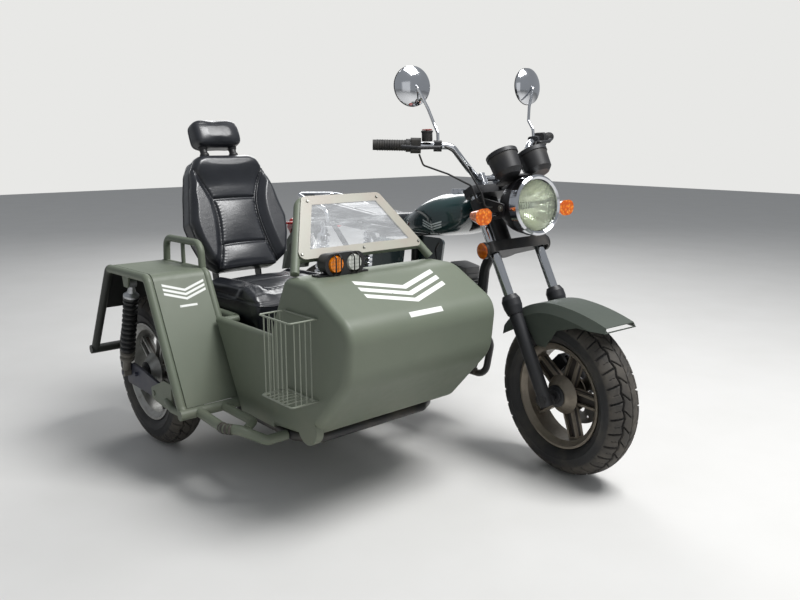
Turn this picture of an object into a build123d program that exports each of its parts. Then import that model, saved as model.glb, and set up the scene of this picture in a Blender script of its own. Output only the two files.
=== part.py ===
"""Sidecar motorcycle: a light motorcycle on cast wheels with a one-seat sheet-metal sidecar.

Drawing frame, in millimetres: +X forward, +Y left, +Z up. Its origin is on the floor under the
front wheel's axle, in the motorcycle's middle plane. The PLACE values carry each piece from there
to its place on the vehicle, whose own origin is on the floor under the middle of its plan.
"""
import math
import os

from build123d import *

os.makedirs("parts", exist_ok=True)

# How the vehicle stands
FRONT_X = 664.0          # front axle ahead of the origin
BIKE_Y = 280.0           # middle plane of the motorcycle, left of the origin
LEAN = 2.5               # degrees that the motorcycle leans away from the sidecar
STEER_REST = 9.0         # degrees that the front wheel is turned to the right
RAKE = 29.0              # steering axis, degrees from upright
FORK_OFFSET = 48.0       # fork legs ahead of the steering axis

# Wheels and tyres
WHEEL_R = 265.0          # outside of the tyre
WHEELBASE = 1300.0
REAR_X = -WHEELBASE      # rear axle
SIDE_WHEEL_X = -1110.0   # sidecar wheel's axle
SIDE_WHEEL_Y = -870.0
CROWN_R = 75.0           # roundness of the tread across its width
CROWN_HALF = 48.0        # degrees of crown each side of the middle
BEAD_R = 160.0           # tyre's seat on the rim
BEAD_HALF = 40.0
FLANGE_R = 172.0
FLANGE_T = 7.0
BARREL_R = 148.0         # inside of the rim's barrel
LIP_STEP = 7.0
HUB_R = 36.0
AXLE_R = 7.5
AXLE_GAP = 0.3           # running clearance round every axle and pin
FIT = 0.3                # space left between pieces that only meet
SPOKES = 5
SPOKE_ROOT = 48.0
SPOKE_TIP = 38.0
SPOKE_T = 30.0
SPOKE_RIB = 7.0          # walls left beside each spoke's channel
CHANNEL_DEPTH = 11.0
DISC_R = 112.0
DISC_T = 4.0
DISC_Y = 52.0

# Fork and head
FORK_Y = 98.0
TUBE_R = 16.5
LEG_R = 22.0
LEG_TOP = 300.0          # distances along the leg, from the axle
DUST_TOP = 350.0
DUST_R = 31.0
LOWER_CLAMP = 500.0
UPPER_CLAMP = 706.0
CLAMP_T = 28.0
CLAMP_BACK_R = 28.0
STEM_R = 16.7
HEAD_R = 27.0
BAR_D = 22.0
BAR_RISE = 37.5          # middle of the bar above the upper clamp
BAR_BACK = 16.0          # and behind the tubes
EAR_DROP = 66.0          # headlamp's rings on the tubes, below the upper clamp

# Sidecar body
SHEET = 3.0
TUB_OUT_Y = -816.0
TUB_IN_Y = -254.0
FLOOR_Z = 228.0
SILL_Z = 504.0
DECK_Z = 689.0
NOSE_BACK_X = -448.0
TUB_BACK_X = -1195.0
SEAT_Y = -530.0
SEAT_W = 400.0
SEAT_ROOM = 32.0         # from the cushion's side to the wall beside it
TUB_REAR_Y = SEAT_Y - SEAT_W / 2 - SEAT_ROOM      # outboard wall beside the sidecar wheel
EDGE_ROUND = 22.0
RAIL_D = 28.0

STEER_SIN = math.sin(math.radians(RAKE))
STEER_COS = math.cos(math.radians(RAKE))
STEER_FRAME = Plane(
    origin=(-FORK_OFFSET / STEER_COS, 0, WHEEL_R),
    x_dir=(STEER_COS, 0, STEER_SIN),
    z_dir=(-STEER_SIN, 0, STEER_COS),
).location
SIDE_PLACE = Location((FRONT_X, BIKE_Y, 0))
BIKE_PLACE = SIDE_PLACE * Location((0, 0, 0), (-LEAN, 0, 0))
FORK_PLACE = (
    BIKE_PLACE * STEER_FRAME * Location((0, 0, 0), (0, 0, -STEER_REST)) * STEER_FRAME.inverse()
)


def leg_point(along, side=0.0, ahead=0.0):
    """A point on the fork legs' slope: along it from the axle, sideways, and ahead of it."""
    return (
        -along * STEER_SIN + ahead * STEER_COS,
        side,
        WHEEL_R + along * STEER_COS + ahead * STEER_SIN,
    )


def across_leg(along, side=0.0, ahead=0.0):
    """A plane square to the fork legs at such a point."""
    return Plane(
        origin=leg_point(along, side, ahead),
        x_dir=(STEER_COS, 0, STEER_SIN),
        z_dir=(-STEER_SIN, 0, STEER_COS),
    )


BAR_C = leg_point(UPPER_CLAMP + CLAMP_T + BAR_RISE, 0, -BAR_BACK)
EAR_C = leg_point(UPPER_CLAMP - EAR_DROP)


def measured_from(origin, *points):
    """Points given from another point, such as the middle of the bar, in the drawing frame."""
    return [(origin[0] + x, origin[1] + y, origin[2] + z) for x, y, z in points]


def tube(points, diameter, bend=30.0):
    """Add a round tube along straight runs joined by arcs."""
    with BuildLine() as route:
        if len(points) > 2:
            FilletPolyline(*points, radius=bend)
        else:
            Line(*points)
    with BuildSketch(Plane(origin=route.line @ 0, z_dir=route.line % 0)) as ring:
        Circle(diameter / 2)
    sweep(sections=ring.sketch, path=route.line)


def bar_across(x, z, y_from, y_to, radius):
    """Add a round bar along Y."""
    with BuildSketch(Plane(origin=(x, y_from, z), x_dir=(1, 0, 0), z_dir=(0, 1, 0))) as ring:
        Circle(radius)
    extrude(ring.sketch, amount=y_to - y_from)


def other_side(points):
    """The same route on the other side of the middle plane."""
    return [(x, -y, z) for x, y, z in points]


def keep(piece, node, place):
    """Name a finished piece, carry it to its place and write it."""
    piece.part.label = node
    placed = piece.part.moved(place)
    placed.label = node
    export_step(placed, f"parts/{node}.step")


# Wheels: name, tyre width, half width of the hub, place
WHEELS = (
    ("front", 132.0, 48.0, FORK_PLACE * Location((0, 0, WHEEL_R))),
    ("rear", 132.0, 58.0, BIKE_PLACE * Location((REAR_X, 0, WHEEL_R))),
    ("side", 116.0, 50.0, SIDE_PLACE * Location((SIDE_WHEEL_X, SIDE_WHEEL_Y, WHEEL_R))),
)
crown_angle = math.radians(CROWN_HALF)
shoulder_r = WHEEL_R - CROWN_R * (1 - math.cos(crown_angle))
shoulder_y = CROWN_R * math.sin(crown_angle)
bead_top = FLANGE_R + 1.0
widest_r = (bead_top + WHEEL_R) / 2 - 4
seat_r = BEAD_R - FIT

for wheel, tyre_w, hub_half, wheel_place in WHEELS:
    side_y = tyre_w / 2
    narrow = shoulder_y * tyre_w / 132.0
    with BuildPart() as tyre:
        with BuildSketch(Plane.YZ) as tyre_section:
            with BuildLine():
                ThreePointArc((-narrow, shoulder_r), (0, WHEEL_R), (narrow, shoulder_r))
                ThreePointArc((narrow, shoulder_r), (side_y, widest_r), (BEAD_HALF, bead_top))
                Polyline(
                    (BEAD_HALF, bead_top), (BEAD_HALF, BEAD_R), (-BEAD_HALF, BEAD_R), (-BEAD_HALF, bead_top),
                )
                ThreePointArc((-BEAD_HALF, bead_top), (-side_y, widest_r), (-narrow, shoulder_r))
            make_face()
        revolve(axis=Axis.Y)
    keep(tyre, f"{wheel}_tyre", wheel_place)

    lip_in = BEAD_HALF + FIT
    lip_out = lip_in + FLANGE_T
    with BuildPart() as rim:
        with BuildSketch(Plane.YZ) as rim_section:
            with BuildLine():
                Polyline(
                    (lip_out, FLANGE_R), (lip_in, FLANGE_R), (lip_in, seat_r),
                    (-lip_in, seat_r), (-lip_in, FLANGE_R), (-lip_out, FLANGE_R),
                    (-lip_out, FLANGE_R - LIP_STEP), (-lip_in, FLANGE_R - 2 * LIP_STEP),
                    (-lip_in + LIP_STEP, BARREL_R), (lip_in - LIP_STEP, BARREL_R),
                    (lip_in, FLANGE_R - 2 * LIP_STEP), (lip_out, FLANGE_R - LIP_STEP),
                    close=True,
                )
            make_face()
        revolve(axis=Axis.Y)
        with BuildSketch(Plane.XZ.offset(-SPOKE_T / 2)):
            with PolarLocations(0, SPOKES):
                Polygon(
                    (0, -SPOKE_ROOT / 2), (BARREL_R + 2, -SPOKE_TIP / 2),
                    (BARREL_R + 2, SPOKE_TIP / 2), (0, SPOKE_ROOT / 2), align=None,
                )
        extrude(amount=SPOKE_T)
        for face_y in (-SPOKE_T / 2, SPOKE_T / 2 - CHANNEL_DEPTH):
            with BuildSketch(Plane.XZ.offset(face_y)):
                with PolarLocations(0, SPOKES):
                    Polygon(
                        (HUB_R + SPOKE_RIB, SPOKE_RIB - SPOKE_ROOT / 2 + 3),
                        (BARREL_R - SPOKE_RIB, SPOKE_RIB - SPOKE_TIP / 2),
                        (BARREL_R - SPOKE_RIB, SPOKE_TIP / 2 - SPOKE_RIB),
                        (HUB_R + SPOKE_RIB, SPOKE_ROOT / 2 - SPOKE_RIB - 3), align=None,
                    )
            extrude(amount=CHANNEL_DEPTH, mode=Mode.SUBTRACT)
        bar_across(0, 0, -hub_half, hub_half, HUB_R)
        with BuildSketch(Plane.XZ.offset(-hub_half)):
            Circle(AXLE_R + AXLE_GAP)
        extrude(amount=2 * hub_half, mode=Mode.SUBTRACT)
    keep(rim, f"{wheel}_rim", wheel_place)

front_place = WHEELS[0][3]
with BuildPart() as brake_disc:
    with BuildSketch(Plane.XZ.offset(-DISC_Y)):
        Circle(DISC_R)
        with PolarLocations(DISC_R * 0.82, 12):
            Circle(4, mode=Mode.SUBTRACT)
        with PolarLocations(DISC_R * 0.52, 5):
            Circle(14, mode=Mode.SUBTRACT)
        Circle(AXLE_R + 6, mode=Mode.SUBTRACT)
    extrude(amount=DISC_T)
keep(brake_disc, "brake_disc", front_place)

# Front fork
with BuildPart() as fork_tubes:
    for side in (-FORK_Y, FORK_Y):
        with BuildSketch(across_leg(DUST_TOP - 60, side)):
            Circle(TUBE_R)
        extrude(amount=UPPER_CLAMP + CLAMP_T + 4 - DUST_TOP + 60)
keep(fork_tubes, "fork_tubes", FORK_PLACE)

with BuildPart() as fork_legs:
    for side in (-FORK_Y, FORK_Y):
        with BuildSketch(across_leg(-24, side)):
            Circle(LEG_R)
        extrude(amount=LEG_TOP + 24)
        dust_profile = (
            (LEG_TOP - 14, LEG_R - 2), (LEG_TOP - 14, LEG_R + 3), (LEG_TOP + 12, DUST_R),
            (LEG_TOP + 34, DUST_R), (DUST_TOP, TUBE_R + 7), (DUST_TOP, TUBE_R + FIT),
            (LEG_TOP - 10, TUBE_R + FIT), (LEG_TOP - 10, LEG_R - 2),
        )
        leg_side = Plane(
            origin=leg_point(0, side), x_dir=(STEER_COS, 0, STEER_SIN), z_dir=(0, -1, 0)
        )
        with BuildSketch(leg_side) as bell:
            with BuildLine():
                Polyline(*[(radius, along) for along, radius in dust_profile], close=True)
            make_face()
        revolve(axis=Axis(leg_point(0, side), (-STEER_SIN, 0, STEER_COS)))
        with BuildSketch(across_leg(DUST_TOP - 60, side)):
            Circle(TUBE_R + FIT)
        extrude(amount=60, mode=Mode.SUBTRACT)
        bar_across(0, WHEEL_R, side - 20, side + 20, 20)
    bar_across(0, WHEEL_R, -FORK_Y, FORK_Y, AXLE_R)
keep(fork_legs, "fork_legs", FORK_PLACE)

# Clamps that carry the two tubes, with the stem that turns in the head
with BuildPart() as fork_clamps:
    for along in (LOWER_CLAMP, UPPER_CLAMP):
        with BuildSketch(across_leg(along)) as outline:
            with BuildLine():
                Polyline(
                    (24, -FORK_Y - 26), (24, FORK_Y + 26), (-26, FORK_Y + 26),
                    (-FORK_OFFSET, CLAMP_BACK_R - 2), (-FORK_OFFSET, 2 - CLAMP_BACK_R), (-26, -FORK_Y - 26),
                    close=True,
                )
            make_face()
            fillet(outline.vertices(), radius=12)
            with Locations((-FORK_OFFSET, 0)):
                Circle(CLAMP_BACK_R)
            with Locations((0, -FORK_Y), (0, FORK_Y)):
                Circle(TUBE_R + FIT, mode=Mode.SUBTRACT)
        extrude(amount=CLAMP_T)
    with BuildSketch(across_leg(LOWER_CLAMP, 0, -FORK_OFFSET)):
        Circle(STEM_R)
    extrude(amount=UPPER_CLAMP - LOWER_CLAMP + CLAMP_T + 8)
keep(fork_clamps, "fork_clamps", FORK_PLACE)

# Band across the fork that wraps round its tubes, with a round reflector facing each side
BAND_SIDE_Y = 127.0
BAND_H = 36.0
BAND_T = 5.0
BAND_AHEAD = 28.0
BAND_BACK = -34.0
BAND_FOOT = LOWER_CLAMP - 4
REFLECTOR_R = 28.0
REFLECTOR_T = 11.0
REFLECTOR_AHEAD = -6.0
with BuildPart() as fork_band:
    with BuildSketch(across_leg(BAND_FOOT)):
        with BuildLine():
            FilletPolyline((BAND_BACK, -BAND_SIDE_Y), (BAND_AHEAD, -BAND_SIDE_Y), (BAND_AHEAD, BAND_SIDE_Y),
                           (BAND_BACK, BAND_SIDE_Y), radius=14)
        trace(line_width=BAND_T)
    extrude(amount=BAND_H)
    for side in (-1, 1):
        with BuildSketch(Plane(
            origin=leg_point(BAND_FOOT + BAND_H / 2, side * (BAND_SIDE_Y + 1), REFLECTOR_AHEAD),
            x_dir=(STEER_COS, 0, STEER_SIN), z_dir=(0, side, 0),
        )):
            Circle(REFLECTOR_R)
        extrude(amount=REFLECTOR_T, taper=6)
keep(fork_band, "fork_band", FORK_PLACE)

# Handlebar and what is on it
BAR_ROUTE = measured_from(
    BAR_C, (0, 0, 0), (0, 48, 0), (36, 116, 40), (18, 172, 116), (-110, 387, 128),
)
RISER_ALONG = UPPER_CLAMP + CLAMP_T
with BuildPart() as handlebar:
    tube(list(reversed(other_side(BAR_ROUTE[1:]))) + BAR_ROUTE[1:], BAR_D, 34)
    for side in (-34, 34):
        with BuildSketch(across_leg(RISER_ALONG, side, -BAR_BACK)):
            RectangleRounded(36, 22, 6)
        extrude(amount=BAR_RISE + 16.5)
keep(handlebar, "handlebar", FORK_PLACE)

grip_start = Vector(*BAR_ROUTE[3])
grip_end = Vector(*BAR_ROUTE[4])
grip_way = (grip_end - grip_start).normalized()
GRIP_L = 122.0
GRIP_R = 17.0
GRIP_OVER = 8.0          # how far each grip stands past the bar's end
COLLAR_L = 14.0
with BuildPart() as grips:
    for mirror_y in (1, -1):
        way = Vector(grip_way.X, mirror_y * grip_way.Y, grip_way.Z)
        end = Vector(grip_end.X, mirror_y * grip_end.Y, grip_end.Z)
        foot = end + way * (GRIP_OVER - GRIP_L)
        for length, radius in ((GRIP_L, GRIP_R), (COLLAR_L, GRIP_R + 4)):
            with BuildSketch(Plane(origin=tuple(foot), z_dir=tuple(way))):
                Circle(radius)
                Circle(BAR_D / 2 + FIT, mode=Mode.SUBTRACT)
            extrude(amount=length)
        switch = end - way * (GRIP_L + 26)
        with BuildSketch(Plane(origin=tuple(switch), z_dir=tuple(way), x_dir=(1, 0, 0))):
            RectangleRounded(44, 50, 10)
            Circle(BAR_D / 2 + FIT, mode=Mode.SUBTRACT)
        extrude(amount=32)
keep(grips, "grips", FORK_PLACE)

LEVER_L = 140.0
PERCH_BACK = 216.0       # from the bar's end, along it
PERCH_HALF = 18.0
with BuildPart() as levers:
    for mirror_y in (1, -1):
        way = Vector(grip_way.X, mirror_y * grip_way.Y, grip_way.Z)
        end = Vector(grip_end.X, mirror_y * grip_end.Y, grip_end.Z)
        perch = end - way * PERCH_BACK
        with BuildSketch(Plane(origin=tuple(perch), z_dir=tuple(way), x_dir=(1, 0, 0))):
            RectangleRounded(2 * PERCH_HALF, 2 * PERCH_HALF, 8)
            Circle(BAR_D / 2 + FIT, mode=Mode.SUBTRACT)
        extrude(amount=24)
        pivot = perch + way * 10 + Vector(34, 0, -4)
        tube([
            tuple(perch + way * 12 + Vector(16, 0, -2)), tuple(pivot + way * 12),
            tuple(pivot + way * 90 + Vector(10, 0, -3)), tuple(pivot + way * LEVER_L),
        ], 12, 10)
keep(levers, "levers", FORK_PLACE)

# Mirrors: a domed back with a rim round the glass, on a bent stem
MIRROR_C = measured_from(BAR_C, (-81, 253, 311))[0]
MIRROR_R = 64.0
MIRROR_DOME = 20.0
MIRROR_RIM = 9.0
MIRROR_STEM = measured_from(
    BAR_C, (-6, 210, 136.9), (-8, 209, 160), (-30, 208, 190), (-42, 222, 238), (-56, 253, 306),
    (-76, 253, 311),
)
with BuildPart() as mirrors:
    for mirror_y in (1, -1):
        middle = (MIRROR_C[0], mirror_y * MIRROR_C[1], MIRROR_C[2])
        facing = Vector(-1, -0.12 * mirror_y, -0.06).normalized()
        with BuildSketch(Plane(origin=middle, x_dir=facing, z_dir=facing.cross(Vector(0, 0, 1)))):
            with BuildLine():
                Polyline((-MIRROR_DOME, 0), (-MIRROR_DOME, 3))
                ThreePointArc((-MIRROR_DOME, 3), (-15, MIRROR_R * 0.56), (0, MIRROR_R))
                Polyline((0, MIRROR_R), (MIRROR_RIM, MIRROR_R), (MIRROR_RIM, 0), (-MIRROR_DOME, 0))
            make_face()
        revolve(axis=Axis(middle, tuple(facing)))
        tube(MIRROR_STEM if mirror_y > 0 else other_side(MIRROR_STEM), 10, 12)
keep(mirrors, "mirrors", FORK_PLACE)

# Headlamp: a deep bowl with a rim, and its glass
LAMP_C = measured_from(EAR_C, (170.3, 0, 34.2))[0]
LAMP_R = 97.0
LAMP_TILT = 6.0
LAMP_DEPTH = 150.0
LAMP_WALL = 5.0
GLASS_R = LAMP_R - 14.0
EAR_Y = 101.0
EAR_PIVOT = (EAR_C[0] + 104.3, EAR_C[2] + 27.2)
EAR_LINE = ((118.3, 41.2), (114.3, -2.8), (10.3, -24.8), (-23.7, 59.2))       # from the tube's middle
EAR_RING_H = 50.0
lamp_way = (math.cos(math.radians(LAMP_TILT)), 0, math.sin(math.radians(LAMP_TILT)))
lamp_side = Plane(origin=LAMP_C, x_dir=lamp_way, z_dir=(0, -1, 0))
with BuildPart() as headlamp:
    with BuildSketch(lamp_side):
        with BuildLine():
            Polyline((-LAMP_DEPTH, 0), (-LAMP_DEPTH, 14))
            ThreePointArc((-LAMP_DEPTH, 14), (-114, 68), (-38, LAMP_R - 5))
            Polyline(
                (-38, LAMP_R - 5), (-34, LAMP_R), (-4, LAMP_R), (2, LAMP_R - 7), (-3, GLASS_R + FIT),
                (-16, GLASS_R + FIT), (-16, LAMP_R - 10), (-38, LAMP_R - 10),
            )
            ThreePointArc((-38, LAMP_R - 10), (-110, 64), (LAMP_WALL - LAMP_DEPTH, 12))
            Polyline((LAMP_WALL - LAMP_DEPTH, 12), (LAMP_WALL - LAMP_DEPTH, 0), (-LAMP_DEPTH, 0))
        make_face()
    revolve(axis=Axis(LAMP_C, lamp_way))
    for mirror_y in (1, -1):
        ear_y = mirror_y * EAR_Y
        bar_across(EAR_PIVOT[0], EAR_PIVOT[1], mirror_y * (LAMP_R - 14), ear_y, 9)
        with BuildSketch(Plane(origin=(0, ear_y, 0), x_dir=(1, 0, 0), z_dir=(0, -1, 0))) as ear:
            with BuildLine():
                Polyline(*[(EAR_C[0] + x, EAR_C[2] + z) for x, z in EAR_LINE], close=True)
            make_face()
            fillet(ear.vertices(), radius=8)
        extrude(amount=3, both=True)
        with BuildSketch(across_leg(UPPER_CLAMP - EAR_DROP, mirror_y * FORK_Y)):
            Circle(TUBE_R + 6)
        extrude(amount=EAR_RING_H)
        with BuildSketch(across_leg(UPPER_CLAMP - EAR_DROP - 60, mirror_y * FORK_Y)):
            Circle(TUBE_R + FIT)
        extrude(amount=EAR_RING_H + 74, mode=Mode.SUBTRACT)
keep(headlamp, "headlamp", FORK_PLACE)

with BuildPart() as headlamp_glass:
    with BuildSketch(lamp_side):
        with BuildLine():
            Polyline((-12, 0), (8, 0), (8, 3))
            ThreePointArc((8, 3), (4, LAMP_R * 0.5), (-5, GLASS_R))
            Polyline((-5, GLASS_R), (-12, GLASS_R), (-12, 0))
        make_face()
    revolve(axis=Axis(LAMP_C, lamp_way))
keep(headlamp_glass, "headlamp_glass", FORK_PLACE)

# Two round instruments in black cups
GAUGE_C = measured_from(BAR_C, (160, 64, 53))[0]
GAUGE_R = 52.0
GAUGE_L = 80.0
GAUGE_TILT = 32.0
gauge_way = (-math.sin(math.radians(GAUGE_TILT)), 0, math.cos(math.radians(GAUGE_TILT)))
with BuildPart() as gauges:
    for mirror_y in (1, -1):
        foot = Vector(GAUGE_C[0], mirror_y * GAUGE_C[1], GAUGE_C[2]) - Vector(*gauge_way) * GAUGE_L / 2
        cup_side = Plane(origin=tuple(foot), x_dir=gauge_way, z_dir=(0, -1, 0))
        with BuildSketch(cup_side):
            with BuildLine():
                Polyline(
                    (0, 0), (0, GAUGE_R - 18), (14, GAUGE_R - 6), (GAUGE_L - 12, GAUGE_R - 2),
                    (GAUGE_L - 12, GAUGE_R), (GAUGE_L, GAUGE_R), (GAUGE_L, GAUGE_R - 6),
                    (GAUGE_L - 6, GAUGE_R - 8), (GAUGE_L - 6, 0), close=True,
                )
            make_face()
        revolve(axis=Axis(tuple(foot), gauge_way))
    plate_foot, plate_join = measured_from(BAR_C, (150, 0, 2), (138, 0, 7))
    with BuildSketch(Plane(origin=plate_foot, x_dir=(0, 1, 0), z_dir=gauge_way)):
        RectangleRounded(150, 66, 12)
    extrude(amount=6)
    clamp_mid = UPPER_CLAMP + CLAMP_T / 2
    tube([leg_point(clamp_mid, 0, 24 + FIT), leg_point(clamp_mid, 0, 44), plate_join], 16, 12)
keep(gauges, "gauges", FORK_PLACE)

# Front direction lamps on short stalks
SIGNAL_C = measured_from(EAR_C, (114.3, 181, 7.2))[0]
with BuildPart() as front_signals:
    for mirror_y in (1, -1):
        with BuildSketch(Plane(
            origin=(SIGNAL_C[0], mirror_y * SIGNAL_C[1], SIGNAL_C[2]),
            x_dir=(0, 1, 0), z_dir=(-1, 0, 0),
        )):
            RectangleRounded(66, 52, 25)
        extrude(amount=44, taper=14)
        tube([
            (SIGNAL_C[0] - 26, mirror_y * (SIGNAL_C[1] - 20), SIGNAL_C[2]),
            (SIGNAL_C[0] - 26, mirror_y * (EAR_Y + 3 + FIT), SIGNAL_C[2]),
        ], 14)
keep(front_signals, "front_signals", FORK_PLACE)

# Front mudguard: a folded crown with a ridge each side, and a skirt to each fork leg
FENDER_R = 302.0
FENDER_HALF = 75.4
FENDER_TIP = (204.0, 268.0)
FENDER_REAR = 142.0      # degrees round the axle, from straight ahead
SKIRT_LINE = (
    (208, 252), (104, 250), (22, 224), (-26, 160), (-64, 160), (-112, 218),
)
fender_side = Plane(origin=(0, FENDER_HALF, WHEEL_R), x_dir=(1, 0, 0), z_dir=(0, -1, 0))


def around(radius, degrees):
    """A point at a radius and an angle round the wheel's axle."""
    return (radius * math.cos(math.radians(degrees)), radius * math.sin(math.radians(degrees)))


def fender_outline(inset):
    """Side view of the mudguard from the axle; inset drops its top and opens its lower edge."""
    radius = FENDER_R - inset
    tip = (FENDER_TIP[0] + inset, FENDER_TIP[1] - inset)
    rear = around(radius, FENDER_REAR + inset)
    ThreePointArc(rear, around(radius, 116), around(radius, 91))
    ThreePointArc(around(radius, 91), (106, radius - 10), tip)
    if inset:
        Polyline(tip, (tip[0], 60), (rear[0], 60), rear)
    else:
        Polyline(tip, *SKIRT_LINE, (rear[0] + 6, rear[1] - 26), rear)


with BuildPart() as fender_hollow:
    with BuildSketch(fender_side.offset(SHEET)):
        with BuildLine():
            fender_outline(SHEET)
        make_face()
    extrude(amount=2 * FENDER_HALF - 2 * SHEET)
    crown_edges = [edge for edge in fender_hollow.edges() if edge.geom_type == GeomType.CIRCLE]
    chamfer(crown_edges, length=15, length2=28)

with BuildPart() as front_mudguard:
    with BuildSketch(fender_side):
        with BuildLine():
            fender_outline(0)
        make_face()
    extrude(amount=2 * FENDER_HALF)
    crown_edges = [edge for edge in front_mudguard.edges() if edge.geom_type == GeomType.CIRCLE]
    chamfer(crown_edges, length=16, length2=30)
    add(fender_hollow.part, mode=Mode.SUBTRACT)
keep(front_mudguard, "front_mudguard", FORK_PLACE)

# Disc brake caliper on the left leg
CALIPER_Y = (32.0, FORK_Y - LEG_R - FIT)
CALIPER_GAP = 5.2
with BuildPart() as brake_caliper:
    with BuildSketch(Plane(origin=(-74, CALIPER_Y[0], WHEEL_R + 74), z_dir=(0, 1, 0), x_dir=(1, 0, 1))):
        RectangleRounded(64, 46, 12)
    extrude(amount=CALIPER_Y[1] - CALIPER_Y[0])
    slot_y = DISC_Y - DISC_T - CALIPER_GAP
    with BuildSketch(Plane(origin=(0, slot_y, WHEEL_R), x_dir=(1, 0, 0), z_dir=(0, 1, 0))):
        Circle(DISC_R + CALIPER_GAP)
    extrude(amount=DISC_T + 2 * CALIPER_GAP, mode=Mode.SUBTRACT)
keep(brake_caliper, "brake_caliper", FORK_PLACE)

# Control cables from the bar down to the headlamp and the lower clamp
PERCH_FRONT = (-370, 201, 1049)
CABLES = (
    ("throttle", 6.0, ((-420, -268, 1026), (-412, -258, 990), (-360, -196, 960), (-308, -144, 922),
                       (-286, -132, 864), (-286, -104 - FIT, 864))),
    ("front brake", 7.0, (PERCH_FRONT[:1] + (-PERCH_FRONT[1],) + PERCH_FRONT[2:], (-352, -176, 1030),
                          (-314, -146, 970), (-262, -136, 900), (-246, -134, 852), (-246, -104 - FIT, 852))),
    ("clutch", 6.0, (PERCH_FRONT, (-352, 176, 1030), (-314, 146, 970), (-262, 136, 900),
                     (-246, 134, 852), (-246, 104 + FIT, 852))),
)
with BuildPart() as control_cables:
    for name, cable_d, points in CABLES:
        tube(points, cable_d, 14)
keep(control_cables, "control_cables", FORK_PLACE)

# Motorcycle frame: name, diameter, bend, on both sides, route
PIVOT = (-850.0, 330.0)
FRAME_TUBES = (
    ("backbone", 44, 60, False, (leg_point(UPPER_CLAMP - 61.2, 0, -67.9), (-520, 0, 750), (-860, 0, 708))),
    ("down tube", 36, 60, False, (leg_point(LOWER_CLAMP + 84, 0, -49), (-390, 0, 618), (-404, 0, 400))),
    ("cradle", 26, 50, True, ((-404, 10, 420), (-412, 80, 330), (-436, 85, 205), (-790, 85, 205),
                              (-850, 85, 300), (-850, 85, 712))),
    ("seat rail", 25, 40, True, ((-784, 10, 717), (-862, 85, 712), (REAR_X - 40, 85, 736))),
    ("rear stay", 22, 60, True, ((-850, 85, 430), (REAR_X + 110, 85, 728))),
)
FRAME_CROSSES = (
    (REAR_X + 120, 730, 12), (REAR_X - 30, 734, 12), (-860, 700, 12), (-760, 205, 12),
)
SHOCK_TOP = (REAR_X + 120, 700.0)
SHOCK_FOOT = (REAR_X + 84, 372.0)
SHOCK_Y = 124.0
with BuildPart() as main_frame:
    for name, diameter, bend, both, points in FRAME_TUBES:
        tube(points, diameter, bend)
        if both:
            tube(other_side(points), diameter, bend)
    for x, z, radius in FRAME_CROSSES:
        bar_across(x, z, -85, 85, radius)
    for side in (-1, 1):
        bar_across(SHOCK_TOP[0], SHOCK_TOP[1] + 12, side * 85, side * (SHOCK_Y + 12), 8)
    for x in (-500, -680):
        with BuildSketch(Plane.XY.offset(205)):
            with Locations((x, 72), (x, -72)):
                Rectangle(50, 24)
        extrude(amount=20)
    with BuildSketch(across_leg(LOWER_CLAMP + CLAMP_T + 2, 0, -FORK_OFFSET)):
        Circle(HEAD_R)
    extrude(amount=UPPER_CLAMP - LOWER_CLAMP - CLAMP_T - 4)
    with BuildSketch(across_leg(LOWER_CLAMP, 0, -FORK_OFFSET)):
        Circle(STEM_R + AXLE_GAP)
    extrude(amount=UPPER_CLAMP - LOWER_CLAMP + CLAMP_T, mode=Mode.SUBTRACT)
keep(main_frame, "main_frame", BIKE_PLACE)

# Engine: crankcase with round side covers, then a finned cylinder
CASE_X = (-716.0, -448.0)
CASE_Z = (225.0, 428.0)
with BuildPart() as engine_case:
    with BuildSketch(Plane.XZ.offset(-68)) as case_outline:
        with BuildLine():
            Polyline(
                (CASE_X[0], 300), (CASE_X[0] + 30, CASE_Z[0]), (CASE_X[1] - 20, CASE_Z[0]),
                (CASE_X[1], 270), (CASE_X[1], 380), (CASE_X[1] - 24, CASE_Z[1]),
                (CASE_X[1] - 150, CASE_Z[1]), (CASE_X[0] + 20, 392), close=True,
            )
        make_face()
        fillet(case_outline.vertices(), radius=16)
    extrude(amount=136)
    for side, x, z, radius, reach in (
        (1, -530, 316, 78, 34), (1, -652, 322, 54, 24), (-1, -560, 318, 86, 38), (-1, -664, 330, 46, 18),
    ):
        with BuildSketch(Plane(origin=(x, side * 66, z), x_dir=(1, 0, 0), z_dir=(0, side, 0))):
            Circle(radius)
        extrude(amount=reach, taper=8)
keep(engine_case, "engine_case", BIKE_PLACE)

CYLINDER_LEAN = 10.0
FINS = 12
FIN_T = 3.0
FIN_PITCH = 11.0
PORT_Y = -42.0
PORT_Z = 560.0
cylinder_way = (math.sin(math.radians(CYLINDER_LEAN)), 0, math.cos(math.radians(CYLINDER_LEAN)))
cylinder_foot = Plane(origin=(-520, 0, CASE_Z[1] + FIT), x_dir=(cylinder_way[2], 0, -cylinder_way[0]),
                      z_dir=cylinder_way)
with BuildPart() as engine_cylinder:
    with BuildSketch(Plane(origin=(-520, 0, CASE_Z[1] + FIT))):
        RectangleRounded(96, 100, 14)
    extrude(amount=18)
    with BuildSketch(cylinder_foot.offset(8)):
        RectangleRounded(88, 92, 24)
    extrude(amount=166)
    for row in range(FINS):
        wide = 124 if row < 8 else 112
        with BuildSketch(cylinder_foot.offset(30 + row * FIN_PITCH)):
            RectangleRounded(wide, wide, 18)
        extrude(amount=FIN_T)
    with BuildSketch(cylinder_foot.offset(160)):
        RectangleRounded(84, 96, 16)
    extrude(amount=38, taper=6)
    with BuildSketch(Plane(origin=(-480, PORT_Y, PORT_Z), z_dir=(1, 0, 0))):
        Circle(20)
    extrude(amount=52)
keep(engine_cylinder, "engine_cylinder", BIKE_PLACE)

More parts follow.
